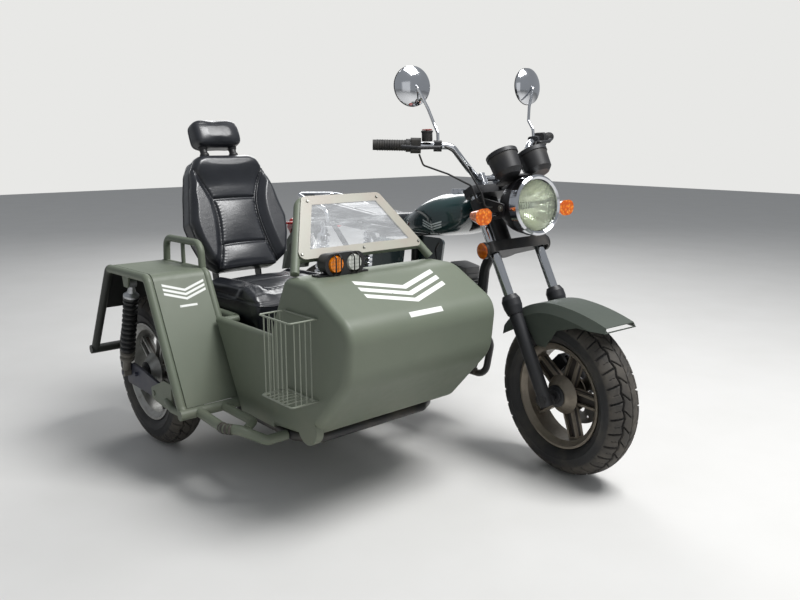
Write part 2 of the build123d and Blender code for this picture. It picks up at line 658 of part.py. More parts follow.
# Exhaust: header round the front of the engine, then a silencer beside the rear wheel
with BuildPart() as exhaust:
    tube([
        (-428 + FIT, PORT_Y, PORT_Z), (-396, PORT_Y, PORT_Z), (-364, -96, 470), (-382, -134, 320),
        (-440, -138, 236), (-800, -144, 236), (-880, -156, 250),
    ], 34, 32)
    with BuildSketch(Plane(origin=(-860, -153, 247), z_dir=(-1, 0, 0.03))):
        Circle(18)
    with BuildSketch(Plane(origin=(-930, -158, 250), z_dir=(-1, 0, 0.03))):
        Circle(42)
    loft()
    with BuildSketch(Plane(origin=(-930, -158, 250), z_dir=(-1, 0, 0.03))):
        Circle(42)
    extrude(amount=420)
    with BuildSketch(Plane(origin=(-1349, -158, 262.6), z_dir=(-1, 0, 0.03))):
        Circle(18)
    extrude(amount=26)
keep(exhaust, "exhaust", BIKE_PLACE)

# Fuel tank: x, width, bottom, top, corner
TANK_SECTIONS = (
    (-424, 118, 800, 858, 26),
    (-470, 218, 742, 878, 46),
    (-560, 268, 722, 872, 60),
    (-660, 250, 722, 820, 44),
    (-762, 150, 728, 766, 16),
)
TUNNEL_HALF = 23.0
CAP_X = -523.0
CAP_R = 38.0
CAP_SEAT = 874.0
with BuildPart() as fuel_tank:
    for x, width, low, high, corner in TANK_SECTIONS:
        with BuildSketch(Plane(origin=(x, 0, (low + high) / 2), x_dir=(0, 1, 0), z_dir=(1, 0, 0))):
            RectangleRounded(width, high - low, corner)
    loft()
    with BuildSketch(Plane.XZ.offset(-TUNNEL_HALF)):
        with BuildLine():
            Polyline((-360, 840), (-372, 821), (-520, 774), (-860, 732), (-860, 600), (-360, 600), close=True)
        make_face()
    extrude(amount=2 * TUNNEL_HALF, mode=Mode.SUBTRACT)
    with BuildSketch(Plane(origin=(CAP_X, 0, CAP_SEAT))):
        Circle(CAP_R + 3)
    extrude(amount=30, mode=Mode.SUBTRACT)
keep(fuel_tank, "fuel_tank", BIKE_PLACE)

with BuildPart() as tank_cap:
    with BuildSketch(Plane(origin=(CAP_X, 0, CAP_SEAT))):
        Circle(CAP_R)
    extrude(amount=16, taper=12)
keep(tank_cap, "tank_cap", BIKE_PLACE)

# Rider's seat, side covers and tail
SEAT_LINE = ((-770, 752), (-774, 784), (-900, 770), (-1030, 782), (REAR_X - 30, 812), (REAR_X - 52, 790),
             (REAR_X - 46, 756), (-1000, 740))
with BuildPart() as rider_seat:
    with BuildSketch(Plane.XZ.offset(-112)) as seat_side:
        with BuildLine():
            Polyline(*SEAT_LINE, close=True)
        make_face()
        fillet(seat_side.vertices(), radius=7)
    extrude(amount=224)
    fillet(rider_seat.faces().sort_by(Axis.Y)[0].edges(), radius=12)
    fillet(rider_seat.faces().sort_by(Axis.Y)[-1].edges(), radius=12)
keep(rider_seat, "rider_seat", BIKE_PLACE)

COVER_LINE = ((-700, 690), (-876, 690), (-884, 520), (-800, 500), (-712, 590))
with BuildPart() as side_covers:
    for side in (-1, 1):
        with BuildSketch(Plane(origin=(0, side * 99, 0), x_dir=(1, 0, 0), z_dir=(0, -1, 0))) as cover:
            with BuildLine():
                Polyline(*COVER_LINE, close=True)
            make_face()
            fillet(cover.vertices(), radius=22)
        extrude(amount=-side * 16, taper=20)
keep(side_covers, "side_covers", BIKE_PLACE)

TAIL_HALF = 68.0
TAIL_LINE = ((-960, 706), (REAR_X - 40, 718), (REAR_X - 160, 700), (REAR_X - 260, 600), (REAR_X - 290, 470))
TAIL_SKIRT = ((REAR_X - 272, 474), (REAR_X - 230, 590), (REAR_X - 140, 676), (REAR_X - 40, 690))
with BuildPart() as rear_mudguard:
    with BuildSketch(Plane.XZ.offset(-TAIL_HALF)) as tail_sheet:
        with BuildLine() as tail_route:
            FilletPolyline(*TAIL_LINE, radius=90)
        trace(line_width=SHEET)
    extrude(amount=2 * TAIL_HALF)
    for side in (-TAIL_HALF, TAIL_HALF - SHEET):
        with BuildSketch(Plane.XZ.offset(side)) as tail_skirt:
            with BuildLine():
                Polyline(*TAIL_LINE[1:], *TAIL_SKIRT, close=True)
            make_face()
        extrude(amount=SHEET)
keep(rear_mudguard, "rear_mudguard", BIKE_PLACE)

TAIL_LAMP_C = (REAR_X - 228, 0, 660)
with BuildPart() as tail_lamp:
    with BuildSketch(Plane(origin=TAIL_LAMP_C, z_dir=(-0.86, 0, 0.5), x_dir=(0, 1, 0))):
        RectangleRounded(118, 74, 20)
    extrude(amount=44, taper=10)
    with BuildSketch(Plane(origin=TAIL_LAMP_C, z_dir=(0.86, 0, -0.5), x_dir=(0, 1, 0))):
        RectangleRounded(90, 50, 12)
    extrude(amount=12)
    signal_z = TAIL_LAMP_C[2] + 30
    for side in (-1, 1):
        bar_across(TAIL_LAMP_C[0] + 24, signal_z, side * 8, side * 160, 6)
        with BuildSketch(Plane(origin=(TAIL_LAMP_C[0] + 42, side * 168, signal_z), z_dir=(-1, 0, 0))):
            RectangleRounded(52, 66, 25)
        extrude(amount=42, taper=14)
keep(tail_lamp, "tail_lamp", BIKE_PLACE)

GRAB_ROUTE = (
    (REAR_X + 150, 126, 728), (REAR_X + 134, 130, 776), (REAR_X - 30, 126, 812), (REAR_X - 120, 96, 824),
)
with BuildPart() as grab_rail:
    tube(list(GRAB_ROUTE) + list(reversed(other_side(GRAB_ROUTE))), 18, 40)
    for side in (-1, 1):
        bar_across(REAR_X, 734, side * 97.8, side * 130, 8)
        tube([(REAR_X, side * 127, 730), (REAR_X, side * 127, 806)], 14)
        bar_across(REAR_X + 150, 728, side * 97.8, side * 132, 9)
keep(grab_rail, "grab_rail", BIKE_PLACE)

# Rear suspension
ARM_ROUTE = ((PIVOT[0], 50, PIVOT[1]), (-960, 66, 314), (-1050, 94, 300), (REAR_X - 18, 94, WHEEL_R))
with BuildPart() as swing_arm:
    for route in (ARM_ROUTE, other_side(ARM_ROUTE)):
        tube(route, 30, 50)
    bar_across(PIVOT[0], PIVOT[1], -71.7, 71.7, 18)
    for side in (-1, 1):
        with BuildSketch(Plane(origin=(SHOCK_FOOT[0], side * 94 - 5, 330), x_dir=(1, 0, 0), z_dir=(0, 1, 0))):
            Polygon((-24, 60), (24, 60), (12, -56), (-12, -56), align=None)
        extrude(amount=10)
        bar_across(SHOCK_FOOT[0], SHOCK_FOOT[1], side * 94, side * (SHOCK_Y + 12), 8)
    bar_across(REAR_X, WHEEL_R, -112, 112, AXLE_R)
keep(swing_arm, "swing_arm", BIKE_PLACE)

shock_way = (Vector(SHOCK_TOP[0], 0, SHOCK_TOP[1] + 12) - Vector(SHOCK_FOOT[0], 0, SHOCK_FOOT[1]))
shock_length = shock_way.length
COILS = 11


def shock_profile(length, body_r, coil_r, coils):
    """Half outline of a spring strut standing on its foot: ridges over a plain body."""
    pitch = (length - 110) / coils
    points = [(0, 12), (body_r, 12), (body_r, 50)]
    for ring in range(coils):
        base = 50 + ring * pitch
        points += [(coil_r - 4, base), (coil_r, base + pitch * 0.3), (coil_r, base + pitch * 0.6),
                   (coil_r - 8, base + pitch * 0.95)]
    points += [(coil_r + 1, length - 60), (coil_r + 1, length - 44), (body_r, length - 34),
               (body_r - 4, length - 12), (0, length - 12)]
    return points


with BuildPart() as rear_shocks:
    for side in (-1, 1):
        foot = (SHOCK_FOOT[0], side * SHOCK_Y, SHOCK_FOOT[1])
        upright = Plane(origin=foot, x_dir=shock_way.cross(Vector(0, -1, 0)).normalized(), z_dir=(0, -1, 0))
        with BuildSketch(upright):
            with BuildLine():
                Polyline(*shock_profile(shock_length, 17, 27, COILS), close=True)
            make_face()
        revolve(axis=Axis(foot, tuple(shock_way.normalized())))
        for x, z in ((SHOCK_FOOT[0], SHOCK_FOOT[1]), (SHOCK_TOP[0], SHOCK_TOP[1] + 12)):
            bar_across(x, z, side * SHOCK_Y - 11, side * SHOCK_Y + 11, 15)
            with BuildSketch(Plane(origin=(x, side * SHOCK_Y - 12, z), x_dir=(1, 0, 0), z_dir=(0, 1, 0))):
                Circle(8 + FIT)
            extrude(amount=24, mode=Mode.SUBTRACT)
keep(rear_shocks, "rear_shocks", BIKE_PLACE)

CASE_R = 74.0            # chain case round the rear sprocket
case_low = (REAR_X + 4, WHEEL_R - CASE_R)
case_high = (REAR_X + 4, WHEEL_R + CASE_R)
with BuildPart() as chain_case:
    with BuildSketch(Plane(origin=(0, 112, 0), x_dir=(1, 0, 0), z_dir=(0, -1, 0))):
        with BuildLine():
            ThreePointArc(case_low, (REAR_X - CASE_R, WHEEL_R), case_high)
            Line(case_high, (-700, 356))
            ThreePointArc((-700, 356), (-652, 310), (-700, 264))
            Line((-700, 264), case_low)
        make_face()
    extrude(amount=-20, taper=12)
keep(chain_case, "chain_case", BIKE_PLACE)

PEG_X = -772.0
PEG_Z = 181.0
PEG_REACH = 222.0
with BuildPart() as footpegs:
    bar_across(PEG_X, PEG_Z, -90, 90, 10)
    for side in (-1, 1):
        bar_across(PEG_X, PEG_Z, side * 90, side * 124, 10)
        bar_across(PEG_X, PEG_Z, side * 120, side * PEG_REACH, 15)
keep(footpegs, "footpegs", BIKE_PLACE)

# Sidecar chassis: one loop of tube under the body, with the struts to the motorcycle
CHASSIS_D = 34.0
CHASSIS_Z = FLOOR_Z - CHASSIS_D / 2 - FIT
AXLE_PLATE_Y = TUB_REAR_Y - 10
CHASSIS_OUT_Y = AXLE_PLATE_Y + 42      # outboard run, which carries the axle plate
CHASSIS_LOOP = (
    (-700, -280), (-360, -280), (-330, -330), (-330, -730), (-390, -780), (-700, -780),
    (-790, CHASSIS_OUT_Y), (-1180, CHASSIS_OUT_Y), (-1180, -280), (-701, -280),
)
CHASSIS_CROSSES = ((-520, -780), (-840, CHASSIS_OUT_Y), (-1010, CHASSIS_OUT_Y))      # x, outboard end
STRUT_D = 30.0
STRUT_Z = 180.0
with BuildPart() as sidecar_chassis:
    tube([(x, y, CHASSIS_Z) for x, y in CHASSIS_LOOP], CHASSIS_D, 22)
    for x, end_y in CHASSIS_CROSSES:
        bar_across(x, CHASSIS_Z, end_y, -280, 13)
    # plate beside the body that takes the inner end of the wheel's axle
    with BuildSketch(Plane(origin=(SIDE_WHEEL_X - 30, 0, 0), x_dir=(0, 1, 0), z_dir=(1, 0, 0))):
        with BuildLine():
            Polyline((AXLE_PLATE_Y + 34, 200), (AXLE_PLATE_Y, 200), (AXLE_PLATE_Y, 296),
                     (AXLE_PLATE_Y + 8, 296), (AXLE_PLATE_Y + 8, 226), (AXLE_PLATE_Y + 34, 226), close=True)
        make_face()
    extrude(amount=60)
keep(sidecar_chassis, "sidecar_chassis", SIDE_PLACE)

strut_y = -280 + CHASSIS_D / 2 + FIT
STRUTS = (
    ("front strut", -470, ((strut_y, CHASSIS_Z), (-225, 206), (-130, STRUT_Z), (-58, STRUT_Z))),
    ("rear strut", -740, ((strut_y, CHASSIS_Z), (-225, 206), (-130, STRUT_Z), (-58, STRUT_Z))),
    ("seat strut", -960, ((TUB_IN_Y + FIT, 460), (-212, 460), (-116, 529), (-73.5, 529))),
)
with BuildPart() as sidecar_struts:
    for name, x, points in STRUTS:
        tube([(x, y, z) for y, z in points], STRUT_D, 22)
keep(sidecar_struts, "sidecar_struts", SIDE_PLACE)


# Nose: one rolled sheet with closed sides, open towards the seat
NOSE_CORNERS = (
    (-255, DECK_Z, 110), (-76, 592, 70), (-92, 436, 110), (-262, 248, 70),
)
NOSE_START = (-361, DECK_Z)
NOSE_END = (NOSE_BACK_X, FLOOR_Z)
NOSE_POST = ((NOSE_BACK_X, SILL_Z), (-411, 588))
NOSE_LOBE = (-276, 272)
NOSE_LOBE_R = 46.0


def set_off(points, distance):
    """An open run of straight lines moved to its right by a distance, with its corners kept."""
    ways = []
    for first, second in zip(points, points[1:]):
        length = math.dist(first, second)
        ways.append(((second[0] - first[0]) / length, (second[1] - first[1]) / length))
    ways = [ways[0]] + ways + [ways[-1]]
    moved = []
    for (x, z), before, after in zip(points, ways, ways[1:]):
        share = distance / (1 + before[0] * after[0] + before[1] * after[1])
        moved.append((x + share * (before[1] + after[1]), z - share * (before[0] + after[0])))
    return moved


nose_run = [NOSE_START] + [(x, z) for x, z, bend in NOSE_CORNERS] + [NOSE_END]
nose_bends = [bend for x, z, bend in NOSE_CORNERS]
nose_inner_run = set_off(nose_run, SHEET)
with BuildPart() as nose_hollow:
    with BuildSketch(Plane.XZ.offset(-TUB_IN_Y + SHEET)):
        with BuildLine():
            FilletPolyline(*nose_inner_run, radius=[bend - SHEET for bend in nose_bends])
            Polyline(nose_inner_run[-1], (-560, nose_inner_run[-1][1]), (-560, nose_inner_run[0][1]),
                     nose_inner_run[0])
        make_face()
    extrude(amount=TUB_IN_Y - TUB_OUT_Y - 2 * SHEET)
    hollow_rims = nose_hollow.faces().filter_by(Axis.Y).edges()
    fillet([edge for edge in hollow_rims if edge.center().X > NOSE_BACK_X + 10], radius=EDGE_ROUND - SHEET)

with BuildPart() as nose_shell:
    with BuildSketch(Plane.XZ.offset(-TUB_IN_Y)):
        with BuildLine():
            FilletPolyline(*nose_run, radius=nose_bends)
            Polyline(NOSE_END, *NOSE_POST, NOSE_START)
        make_face()
    extrude(amount=TUB_IN_Y - TUB_OUT_Y)
    nose_rims = nose_shell.faces().filter_by(Axis.Y).edges()
    fillet([
        edge for edge in nose_rims
        if edge.center().X > NOSE_BACK_X + 10 and not (edge.center().X < -370 and edge.center().Z > SILL_Z)
    ], radius=EDGE_ROUND)
    add(nose_hollow.part, mode=Mode.SUBTRACT)
    with BuildSketch(Plane(origin=(NOSE_LOBE[0], TUB_OUT_Y, NOSE_LOBE[1]), x_dir=(1, 0, 0), z_dir=(0, 1, 0))):
        Circle(NOSE_LOBE_R)
    extrude(amount=24)
keep(nose_shell, "nose_shell", SIDE_PLACE)

# Tub: floor and walls of one folded sheet, with a bay beside the feet and a tube round its open edge
TUB_FRONT_X = NOSE_BACK_X - FIT
BAY_FOOT_X = -638.0
BAY_TOP_X = -774.0
OPEN_X = NOSE_BACK_X + 10        # the cuts run out through the tub's open front
RAIL_DROP = RAIL_D / 2 - 3
tub_top = SILL_Z - RAIL_DROP
bay_slope = (BAY_TOP_X - BAY_FOOT_X) / (tub_top - FLOOR_Z)
bay_inset = SHEET * math.hypot(1, bay_slope)


def bay_edge(z, inset=0.0):
    """Where the bay's slanted rear edge is at a height, or its inner face."""
    return BAY_FOOT_X + inset + (z - FLOOR_Z) * bay_slope


with BuildPart() as sidecar_tub:
    with BuildSketch(Plane.XY.offset(FLOOR_Z)):
        with BuildLine():
            Polyline((TUB_FRONT_X, TUB_IN_Y), (TUB_FRONT_X, TUB_REAR_Y), (TUB_BACK_X, TUB_REAR_Y),
                     (TUB_BACK_X, TUB_IN_Y), close=True)
        make_face()
    extrude(amount=tub_top - FLOOR_Z)
    with BuildSketch(Plane(origin=(0, TUB_REAR_Y, 0), x_dir=(1, 0, 0), z_dir=(0, -1, 0))):
        with BuildLine():
            Polyline((TUB_FRONT_X, FLOOR_Z), (bay_edge(FLOOR_Z), FLOOR_Z), (bay_edge(tub_top), tub_top),
                     (TUB_FRONT_X, tub_top), close=True)
        make_face()
    extrude(amount=TUB_REAR_Y - TUB_OUT_Y)
    with BuildSketch(Plane.XY.offset(FLOOR_Z + SHEET)):
        with BuildLine():
            Polyline((OPEN_X, TUB_IN_Y - SHEET), (OPEN_X, TUB_REAR_Y + SHEET),
                     (TUB_BACK_X + SHEET, TUB_REAR_Y + SHEET), (TUB_BACK_X + SHEET, TUB_IN_Y - SHEET),
                     close=True)
        make_face()
    extrude(amount=SILL_Z, mode=Mode.SUBTRACT)
    with BuildSketch(Plane(origin=(0, TUB_REAR_Y + 2 * SHEET, 0), x_dir=(1, 0, 0), z_dir=(0, -1, 0))):
        with BuildLine():
            Polyline((OPEN_X, FLOOR_Z + SHEET), (bay_edge(FLOOR_Z + SHEET, bay_inset), FLOOR_Z + SHEET),
                     (bay_edge(SILL_Z, bay_inset), SILL_Z), (OPEN_X, SILL_Z), close=True)
        make_face()
    extrude(amount=TUB_REAR_Y - TUB_OUT_Y + SHEET, mode=Mode.SUBTRACT)
    half_rail = RAIL_D / 2
    rail_out_y = TUB_OUT_Y + half_rail
    rail_in_y = TUB_IN_Y - half_rail
    rail_rear_y = TUB_REAR_Y + half_rail
    rail_back_x = TUB_BACK_X + half_rail
    tube([(TUB_FRONT_X, rail_out_y, tub_top), (BAY_TOP_X - 6, rail_out_y, tub_top)], RAIL_D)
    tube([
        (TUB_FRONT_X, rail_in_y, tub_top), (rail_back_x, rail_in_y, tub_top),
        (rail_back_x, rail_rear_y, tub_top), (BAY_TOP_X, rail_rear_y, tub_top),
    ], RAIL_D, 30)
    bar_across(BAY_TOP_X + half_rail, tub_top, rail_out_y, rail_rear_y, half_rail - 1)
keep(sidecar_tub, "sidecar_tub", SIDE_PLACE)

# Windscreen: a bent tube on the nose with a lower rail, and a clear sheet bolted to its face
SCREEN_FOOT = (-352.0, DECK_Z + 9)
SCREEN_TOP = (-477.0, 886.0)
SCREEN_FOOT_Y = (-792.0, -278.0)
SCREEN_TOP_Y = (-690.0, -392.0)
SCREEN_D = 26.0
RAIL_SHARE = 0.19        # height of the lower rail, as a share of the screen's slope


def screen_point(share, across, ahead=0.0):
    """A point on the screen: share of its slope, 0 to 1 across from outboard, and ahead of it."""
    rise = math.atan2(SCREEN_TOP[1] - SCREEN_FOOT[1], SCREEN_FOOT[0] - SCREEN_TOP[0])
    out_y = SCREEN_FOOT_Y[0] + share * (SCREEN_TOP_Y[0] - SCREEN_FOOT_Y[0])
    in_y = SCREEN_FOOT_Y[1] + share * (SCREEN_TOP_Y[1] - SCREEN_FOOT_Y[1])
    return (
        SCREEN_FOOT[0] + share * (SCREEN_TOP[0] - SCREEN_FOOT[0]) + ahead * math.sin(rise),
        out_y + across * (in_y - out_y),
        SCREEN_FOOT[1] + share * (SCREEN_TOP[1] - SCREEN_FOOT[1]) + ahead * math.cos(rise),
    )


with BuildPart() as windscreen_frame:
    tube([screen_point(0, 0), screen_point(1, 0), screen_point(1, 1), screen_point(0, 1)], SCREEN_D, 34)
    tube([screen_point(RAIL_SHARE, 0.005), screen_point(RAIL_SHARE, 0.995)], 22)
keep(windscreen_frame, "windscreen_frame", SIDE_PLACE)

PANE_T = 4.0
PANE_FACE = SCREEN_D / 2 + FIT
PANE_LOW = RAIL_SHARE - 0.04
PANE_HIGH = 1.03
pane_plane = Plane(
    origin=screen_point(0, 0.5, PANE_FACE), x_dir=(0, 1, 0),
    z_dir=Vector(*screen_point(0, 0.5, 1)) - Vector(*screen_point(0, 0.5)),
)
pane_corners = [
    pane_plane.to_local_coords(Vector(*screen_point(share, across, PANE_FACE)))
    for share, across in ((PANE_LOW, 0), (PANE_HIGH, 0), (PANE_HIGH, 1), (PANE_LOW, 1))
]
with BuildPart() as windscreen_pane:
    with BuildSketch(pane_plane) as pane_shape:
        with BuildLine():
            Polyline(*[(corner.X, corner.Y) for corner in pane_corners], close=True)
        make_face()
        fillet(pane_shape.vertices(), radius=20)
    extrude(amount=PANE_T)
keep(windscreen_pane, "windscreen_pane", SIDE_PLACE)

# Pair of round lamps in one housing on the deck
LAMP_PAIR_X = -297.0
LAMP_PAIR_Y = (-689.0, -625.0)
LAMP_PAIR_Z = 722.0
LAMP_PAIR_R = 27.0
pair_mid = sum(LAMP_PAIR_Y) / 2
pair_face = Plane(origin=(LAMP_PAIR_X, pair_mid, LAMP_PAIR_Z), x_dir=(0, 1, 0), z_dir=(-1, 0, 0))
GUARD_WIRE = ((-2, -29), (12, -20), (12, 20), (-2, 29))          # ahead of the face, above its middle
with BuildPart() as lamp_pair:
    with BuildSketch(pair_face):
        RectangleRounded(140, 64, 30)
    extrude(amount=46, taper=6)
    with BuildSketch(pair_face):
        with Locations(*[(y - pair_mid, 0) for y in LAMP_PAIR_Y]):
            Circle(LAMP_PAIR_R)
    extrude(amount=14, mode=Mode.SUBTRACT)
    for y in LAMP_PAIR_Y:
        for shift in (-9, 9):
            tube([(LAMP_PAIR_X + ahead, y + shift, LAMP_PAIR_Z + above) for ahead, above in GUARD_WIRE], 4, 6)
    with BuildSketch(Plane.XY.offset(DECK_Z + FIT)):
        with Locations((LAMP_PAIR_X - 24, pair_mid)):
            Rectangle(34, 176)
    extrude(amount=5)
keep(lamp_pair, "lamp_pair", SIDE_PLACE)

with BuildPart() as lamp_pair_lenses:
    for y in LAMP_PAIR_Y:
        with BuildSketch(Plane(origin=(LAMP_PAIR_X - 12, y, LAMP_PAIR_Z), x_dir=(0, 1, 0), z_dir=(1, 0, 0))):
            Circle(LAMP_PAIR_R - FIT)
        extrude(amount=16, taper=16)
keep(lamp_pair_lenses, "lamp_pair_lenses", SIDE_PLACE)

# Wire basket on the body's side
BASKET_X = (-366.0, -217.0)
BASKET_FRONT_Y = -902.0
BASKET_Z = (371.0, 599.0)
WIRE_D = 3.2
HOOP_D = 5.0
BASKET_WIRES_LONG = 6
BASKET_WIRES_SIDE = 4
WIRE_IN = 1.2            # thin wires run this far inside the hoops
BASKET_BACK_Y = -822.0
with BuildPart() as wire_basket:
    for z in BASKET_Z:
        tube([
            (BASKET_X[0], TUB_OUT_Y - FIT, z), (BASKET_X[0], BASKET_FRONT_Y, z),
            (BASKET_X[1], BASKET_FRONT_Y, z), (BASKET_X[1], TUB_OUT_Y - FIT, z),
        ], HOOP_D, 8)
        tube([(BASKET_X[0], BASKET_BACK_Y, z), (BASKET_X[1], BASKET_BACK_Y, z)], HOOP_D - 0.8)
    for x in BASKET_X:
        inward = math.copysign(WIRE_IN, sum(BASKET_X) / 2 - x)
        for row in range(BASKET_WIRES_SIDE):
            y = BASKET_BACK_Y - 14 + (BASKET_FRONT_Y - BASKET_BACK_Y + 28) * row / (BASKET_WIRES_SIDE - 1)
            tube([(x + inward, y, BASKET_Z[0]), (x + inward, y, BASKET_Z[1])], WIRE_D)
    pitch = (BASKET_X[1] - BASKET_X[0]) / (BASKET_WIRES_LONG + 1)
    for column in range(BASKET_WIRES_LONG):
        x = BASKET_X[0] + pitch * (column + 1)
        tube([(x, BASKET_FRONT_Y + WIRE_IN, BASKET_Z[0]), (x, BASKET_FRONT_Y + WIRE_IN, BASKET_Z[1])], WIRE_D)
        tube([(x - pitch / 2, BASKET_BACK_Y, BASKET_Z[0] + WIRE_IN),
              (x - pitch / 2, BASKET_FRONT_Y, BASKET_Z[0] + WIRE_IN)], WIRE_D)
keep(wire_basket, "wire_basket", SIDE_PLACE)

# Mudguard over the sidecar wheel: a bent sheet between two loops of tube
GUARD_LINE = ((-683, 260.5), (-877.9, 648.1), (-1205.6, 639.9), (-1311, 470.3))
GUARD_SHEET_Y = (-978.0, -804.0)
GUARD_TUBES_Y = (-990.0, -792.0)
GUARD_LOOP = ((-676, 245), (-694, 258), (-884, 638), (-1200, 630), (-1405, 300))
GUARD_TUBE_D = 28.0
STEP_Z = 245.0
STEP_X = -676.0
CROSS_R = 16.0
STEP_D = 30.0
ARM_RAIL_D = 24.0
ARM_RAIL = ((-902, 635), (-908, 728), (-1164, 724), (-1174, 629))
with BuildPart() as wheel_mudguard:
    with BuildSketch(Plane.XZ.offset(-GUARD_SHEET_Y[1])):
        with BuildLine():
            FilletPolyline(*GUARD_LINE, radius=36)
        trace(line_width=SHEET)
    extrude(amount=GUARD_SHEET_Y[1] - GUARD_SHEET_Y[0])
keep(wheel_mudguard, "wheel_mudguard", SIDE_PLACE)

# Its tubes, with the step ahead of it, the arm rail above it and the bracket of the wheel's arm
ARM_PIVOT = (-930.0, 246.0)
ARM_PIN_R = 9.0
BRACKET_Y = -972.0
BRACKET_T = 6.0
SIDE_STRUT_TOP = (-1060.0, 596.0)
SIDE_STRUT_FOOT = (-1168.0, 262.0)
SIDE_STRUT_Y = -970.0
STRUT_PIN_R = 8.0
with BuildPart() as mudguard_rails:
    for y in GUARD_TUBES_Y:
        tube([(x, y, z) for x, z in GUARD_LOOP], GUARD_TUBE_D, 28)
    for x, z in (GUARD_LOOP[0], GUARD_LOOP[-1]):
        bar_across(x, z, GUARD_TUBES_Y[0] - CROSS_R, GUARD_TUBES_Y[1] + CROSS_R, CROSS_R)
    tube([
        (STEP_X, -944, STEP_Z), (-500, -954, STEP_Z), (-456, -926, STEP_Z), (-412, -864, CHASSIS_Z),
        (-412, -780 - CHASSIS_D / 2 - FIT, CHASSIS_Z),
    ], STEP_D, 18)
    tube([(STEP_X, -862, STEP_Z), (-490, -862, STEP_Z), (-450, -908, STEP_Z)], 26, 16)
    rail_y = GUARD_TUBES_Y[1]
    tube([(x, rail_y, z) for x, z in ARM_RAIL], ARM_RAIL_D, 36)
    tube([(-1040, rail_y, 636), (-1040, rail_y, 722)], 14)
    tube([(STEP_X, -990, STEP_Z), (-760, -990, STEP_Z - 6), (-836, BRACKET_Y, STEP_Z - 2)], 22, 30)
    bracket_face = Plane(origin=(0, BRACKET_Y - BRACKET_T / 2, 0), x_dir=(1, 0, 0), z_dir=(0, -1, 0))
    with BuildSketch(bracket_face) as bracket:
        with BuildLine():
            Polyline((-796, 212), (-946, 224), (-950, 262), (-848, 307), (-796, 307), close=True)
        make_face()
        fillet(bracket.vertices(), radius=8)
    extrude(amount=-BRACKET_T)
    bar_across(ARM_PIVOT[0], ARM_PIVOT[1], BRACKET_Y - 6, BRACKET_Y + 32, ARM_PIN_R)
    with BuildSketch(Plane(origin=(0, -992, 0), x_dir=(1, 0, 0), z_dir=(0, 1, 0))):
        Polygon((-1090, -638), (-1030, -638), (-1044, -584), (-1076, -584), align=None)
    extrude(amount=6)
    bar_across(SIDE_STRUT_TOP[0], SIDE_STRUT_TOP[1], -992, SIDE_STRUT_Y + 14, STRUT_PIN_R)
keep(mudguard_rails, "mudguard_rails", SIDE_PLACE)

# Sidecar wheel's arm outside the wheel, its axle, and the booted strut
ARM_Y = -946.0
ARM_T = 10.0
with BuildPart() as side_arm:
    with BuildSketch(Plane(origin=(0, ARM_Y, 0), x_dir=(1, 0, 0), z_dir=(0, -1, 0))) as arm_shape:
        with BuildLine():
            Polyline((-1196, 216), (-1196, 270), (-1150, 296), (-1080, 292), (-908, 268), (-904, 226),
                     (-1000, 216), close=True)
        make_face()
        fillet(arm_shape.vertices(), radius=12)
    extrude(amount=ARM_T)
    with BuildSketch(Plane(origin=(ARM_PIVOT[0], ARM_Y + 1, ARM_PIVOT[1]), z_dir=(0, -1, 0))):
        Circle(ARM_PIN_R + FIT)
    extrude(amount=ARM_T + 2, mode=Mode.SUBTRACT)
    bar_across(SIDE_WHEEL_X, WHEEL_R, ARM_Y - ARM_T - 10, AXLE_PLATE_Y - FIT, AXLE_R)
    bar_across(SIDE_STRUT_FOOT[0], SIDE_STRUT_FOOT[1], SIDE_STRUT_Y - 14, ARM_Y - 2, STRUT_PIN_R)
keep(side_arm, "side_arm", SIDE_PLACE)

with BuildPart() as side_strut:
    foot = (SIDE_STRUT_FOOT[0], SIDE_STRUT_Y, SIDE_STRUT_FOOT[1])
    side_strut_way = Vector(SIDE_STRUT_TOP[0], SIDE_STRUT_Y, SIDE_STRUT_TOP[1]) - Vector(*foot)
    upright = Plane(origin=foot, x_dir=side_strut_way.cross(Vector(0, -1, 0)).normalized(), z_dir=(0, -1, 0))
    with BuildSketch(upright):
        with BuildLine():
            Polyline(*shock_profile(side_strut_way.length, 14, 25, 13), close=True)
        make_face()
    revolve(axis=Axis(foot, tuple(side_strut_way.normalized())))
    for x, z in (SIDE_STRUT_FOOT, SIDE_STRUT_TOP):
        bar_across(x, z, SIDE_STRUT_Y - 12, SIDE_STRUT_Y + 12, 15)
        with BuildSketch(Plane(origin=(x, SIDE_STRUT_Y - 13, z), x_dir=(1, 0, 0), z_dir=(0, 1, 0))):
            Circle(STRUT_PIN_R + FIT)
        extrude(amount=26, mode=Mode.SUBTRACT)
keep(side_strut, "side_strut", SIDE_PLACE)

# Passenger's seat: a steel box, cushion, back and headrest
CUSHION_X = (-1104.0, -657.0)
SEAT_BOX_Z = 432.0
with BuildPart() as seat_box:
    with BuildSketch(Plane.XY.offset(FLOOR_Z + SHEET)):
        with Locations(((CUSHION_X[0] + CUSHION_X[1]) / 2, SEAT_Y)):
            Rectangle(380, SEAT_W - 40)
            Rectangle(380 - 2 * SHEET, SEAT_W - 40 - 2 * SHEET, mode=Mode.SUBTRACT)
    extrude(amount=SEAT_BOX_Z - FLOOR_Z - SHEET)
    with BuildSketch(Plane.XY.offset(SEAT_BOX_Z - SHEET)):
        with Locations(((CUSHION_X[0] + CUSHION_X[1]) / 2, SEAT_Y)):
            Rectangle(380, SEAT_W - 40)
    extrude(amount=SHEET)
    for side in (-1, 1):
        y = SEAT_Y + side * 90
        with BuildSketch(Plane(origin=(0, y - 3, 0), x_dir=(1, 0, 0), z_dir=(0, 1, 0))):
            Polygon(
                (-1050, -428), (-1107, -430), (-1108, -450), (-1125.3, -590), (-1149.1, -646), (-1178, -640),
                (-1132, -430), (-1085, -330), (-1050, -330), align=None,
            )
        extrude(amount=6)
keep(seat_box, "seat_box", SIDE_PLACE)

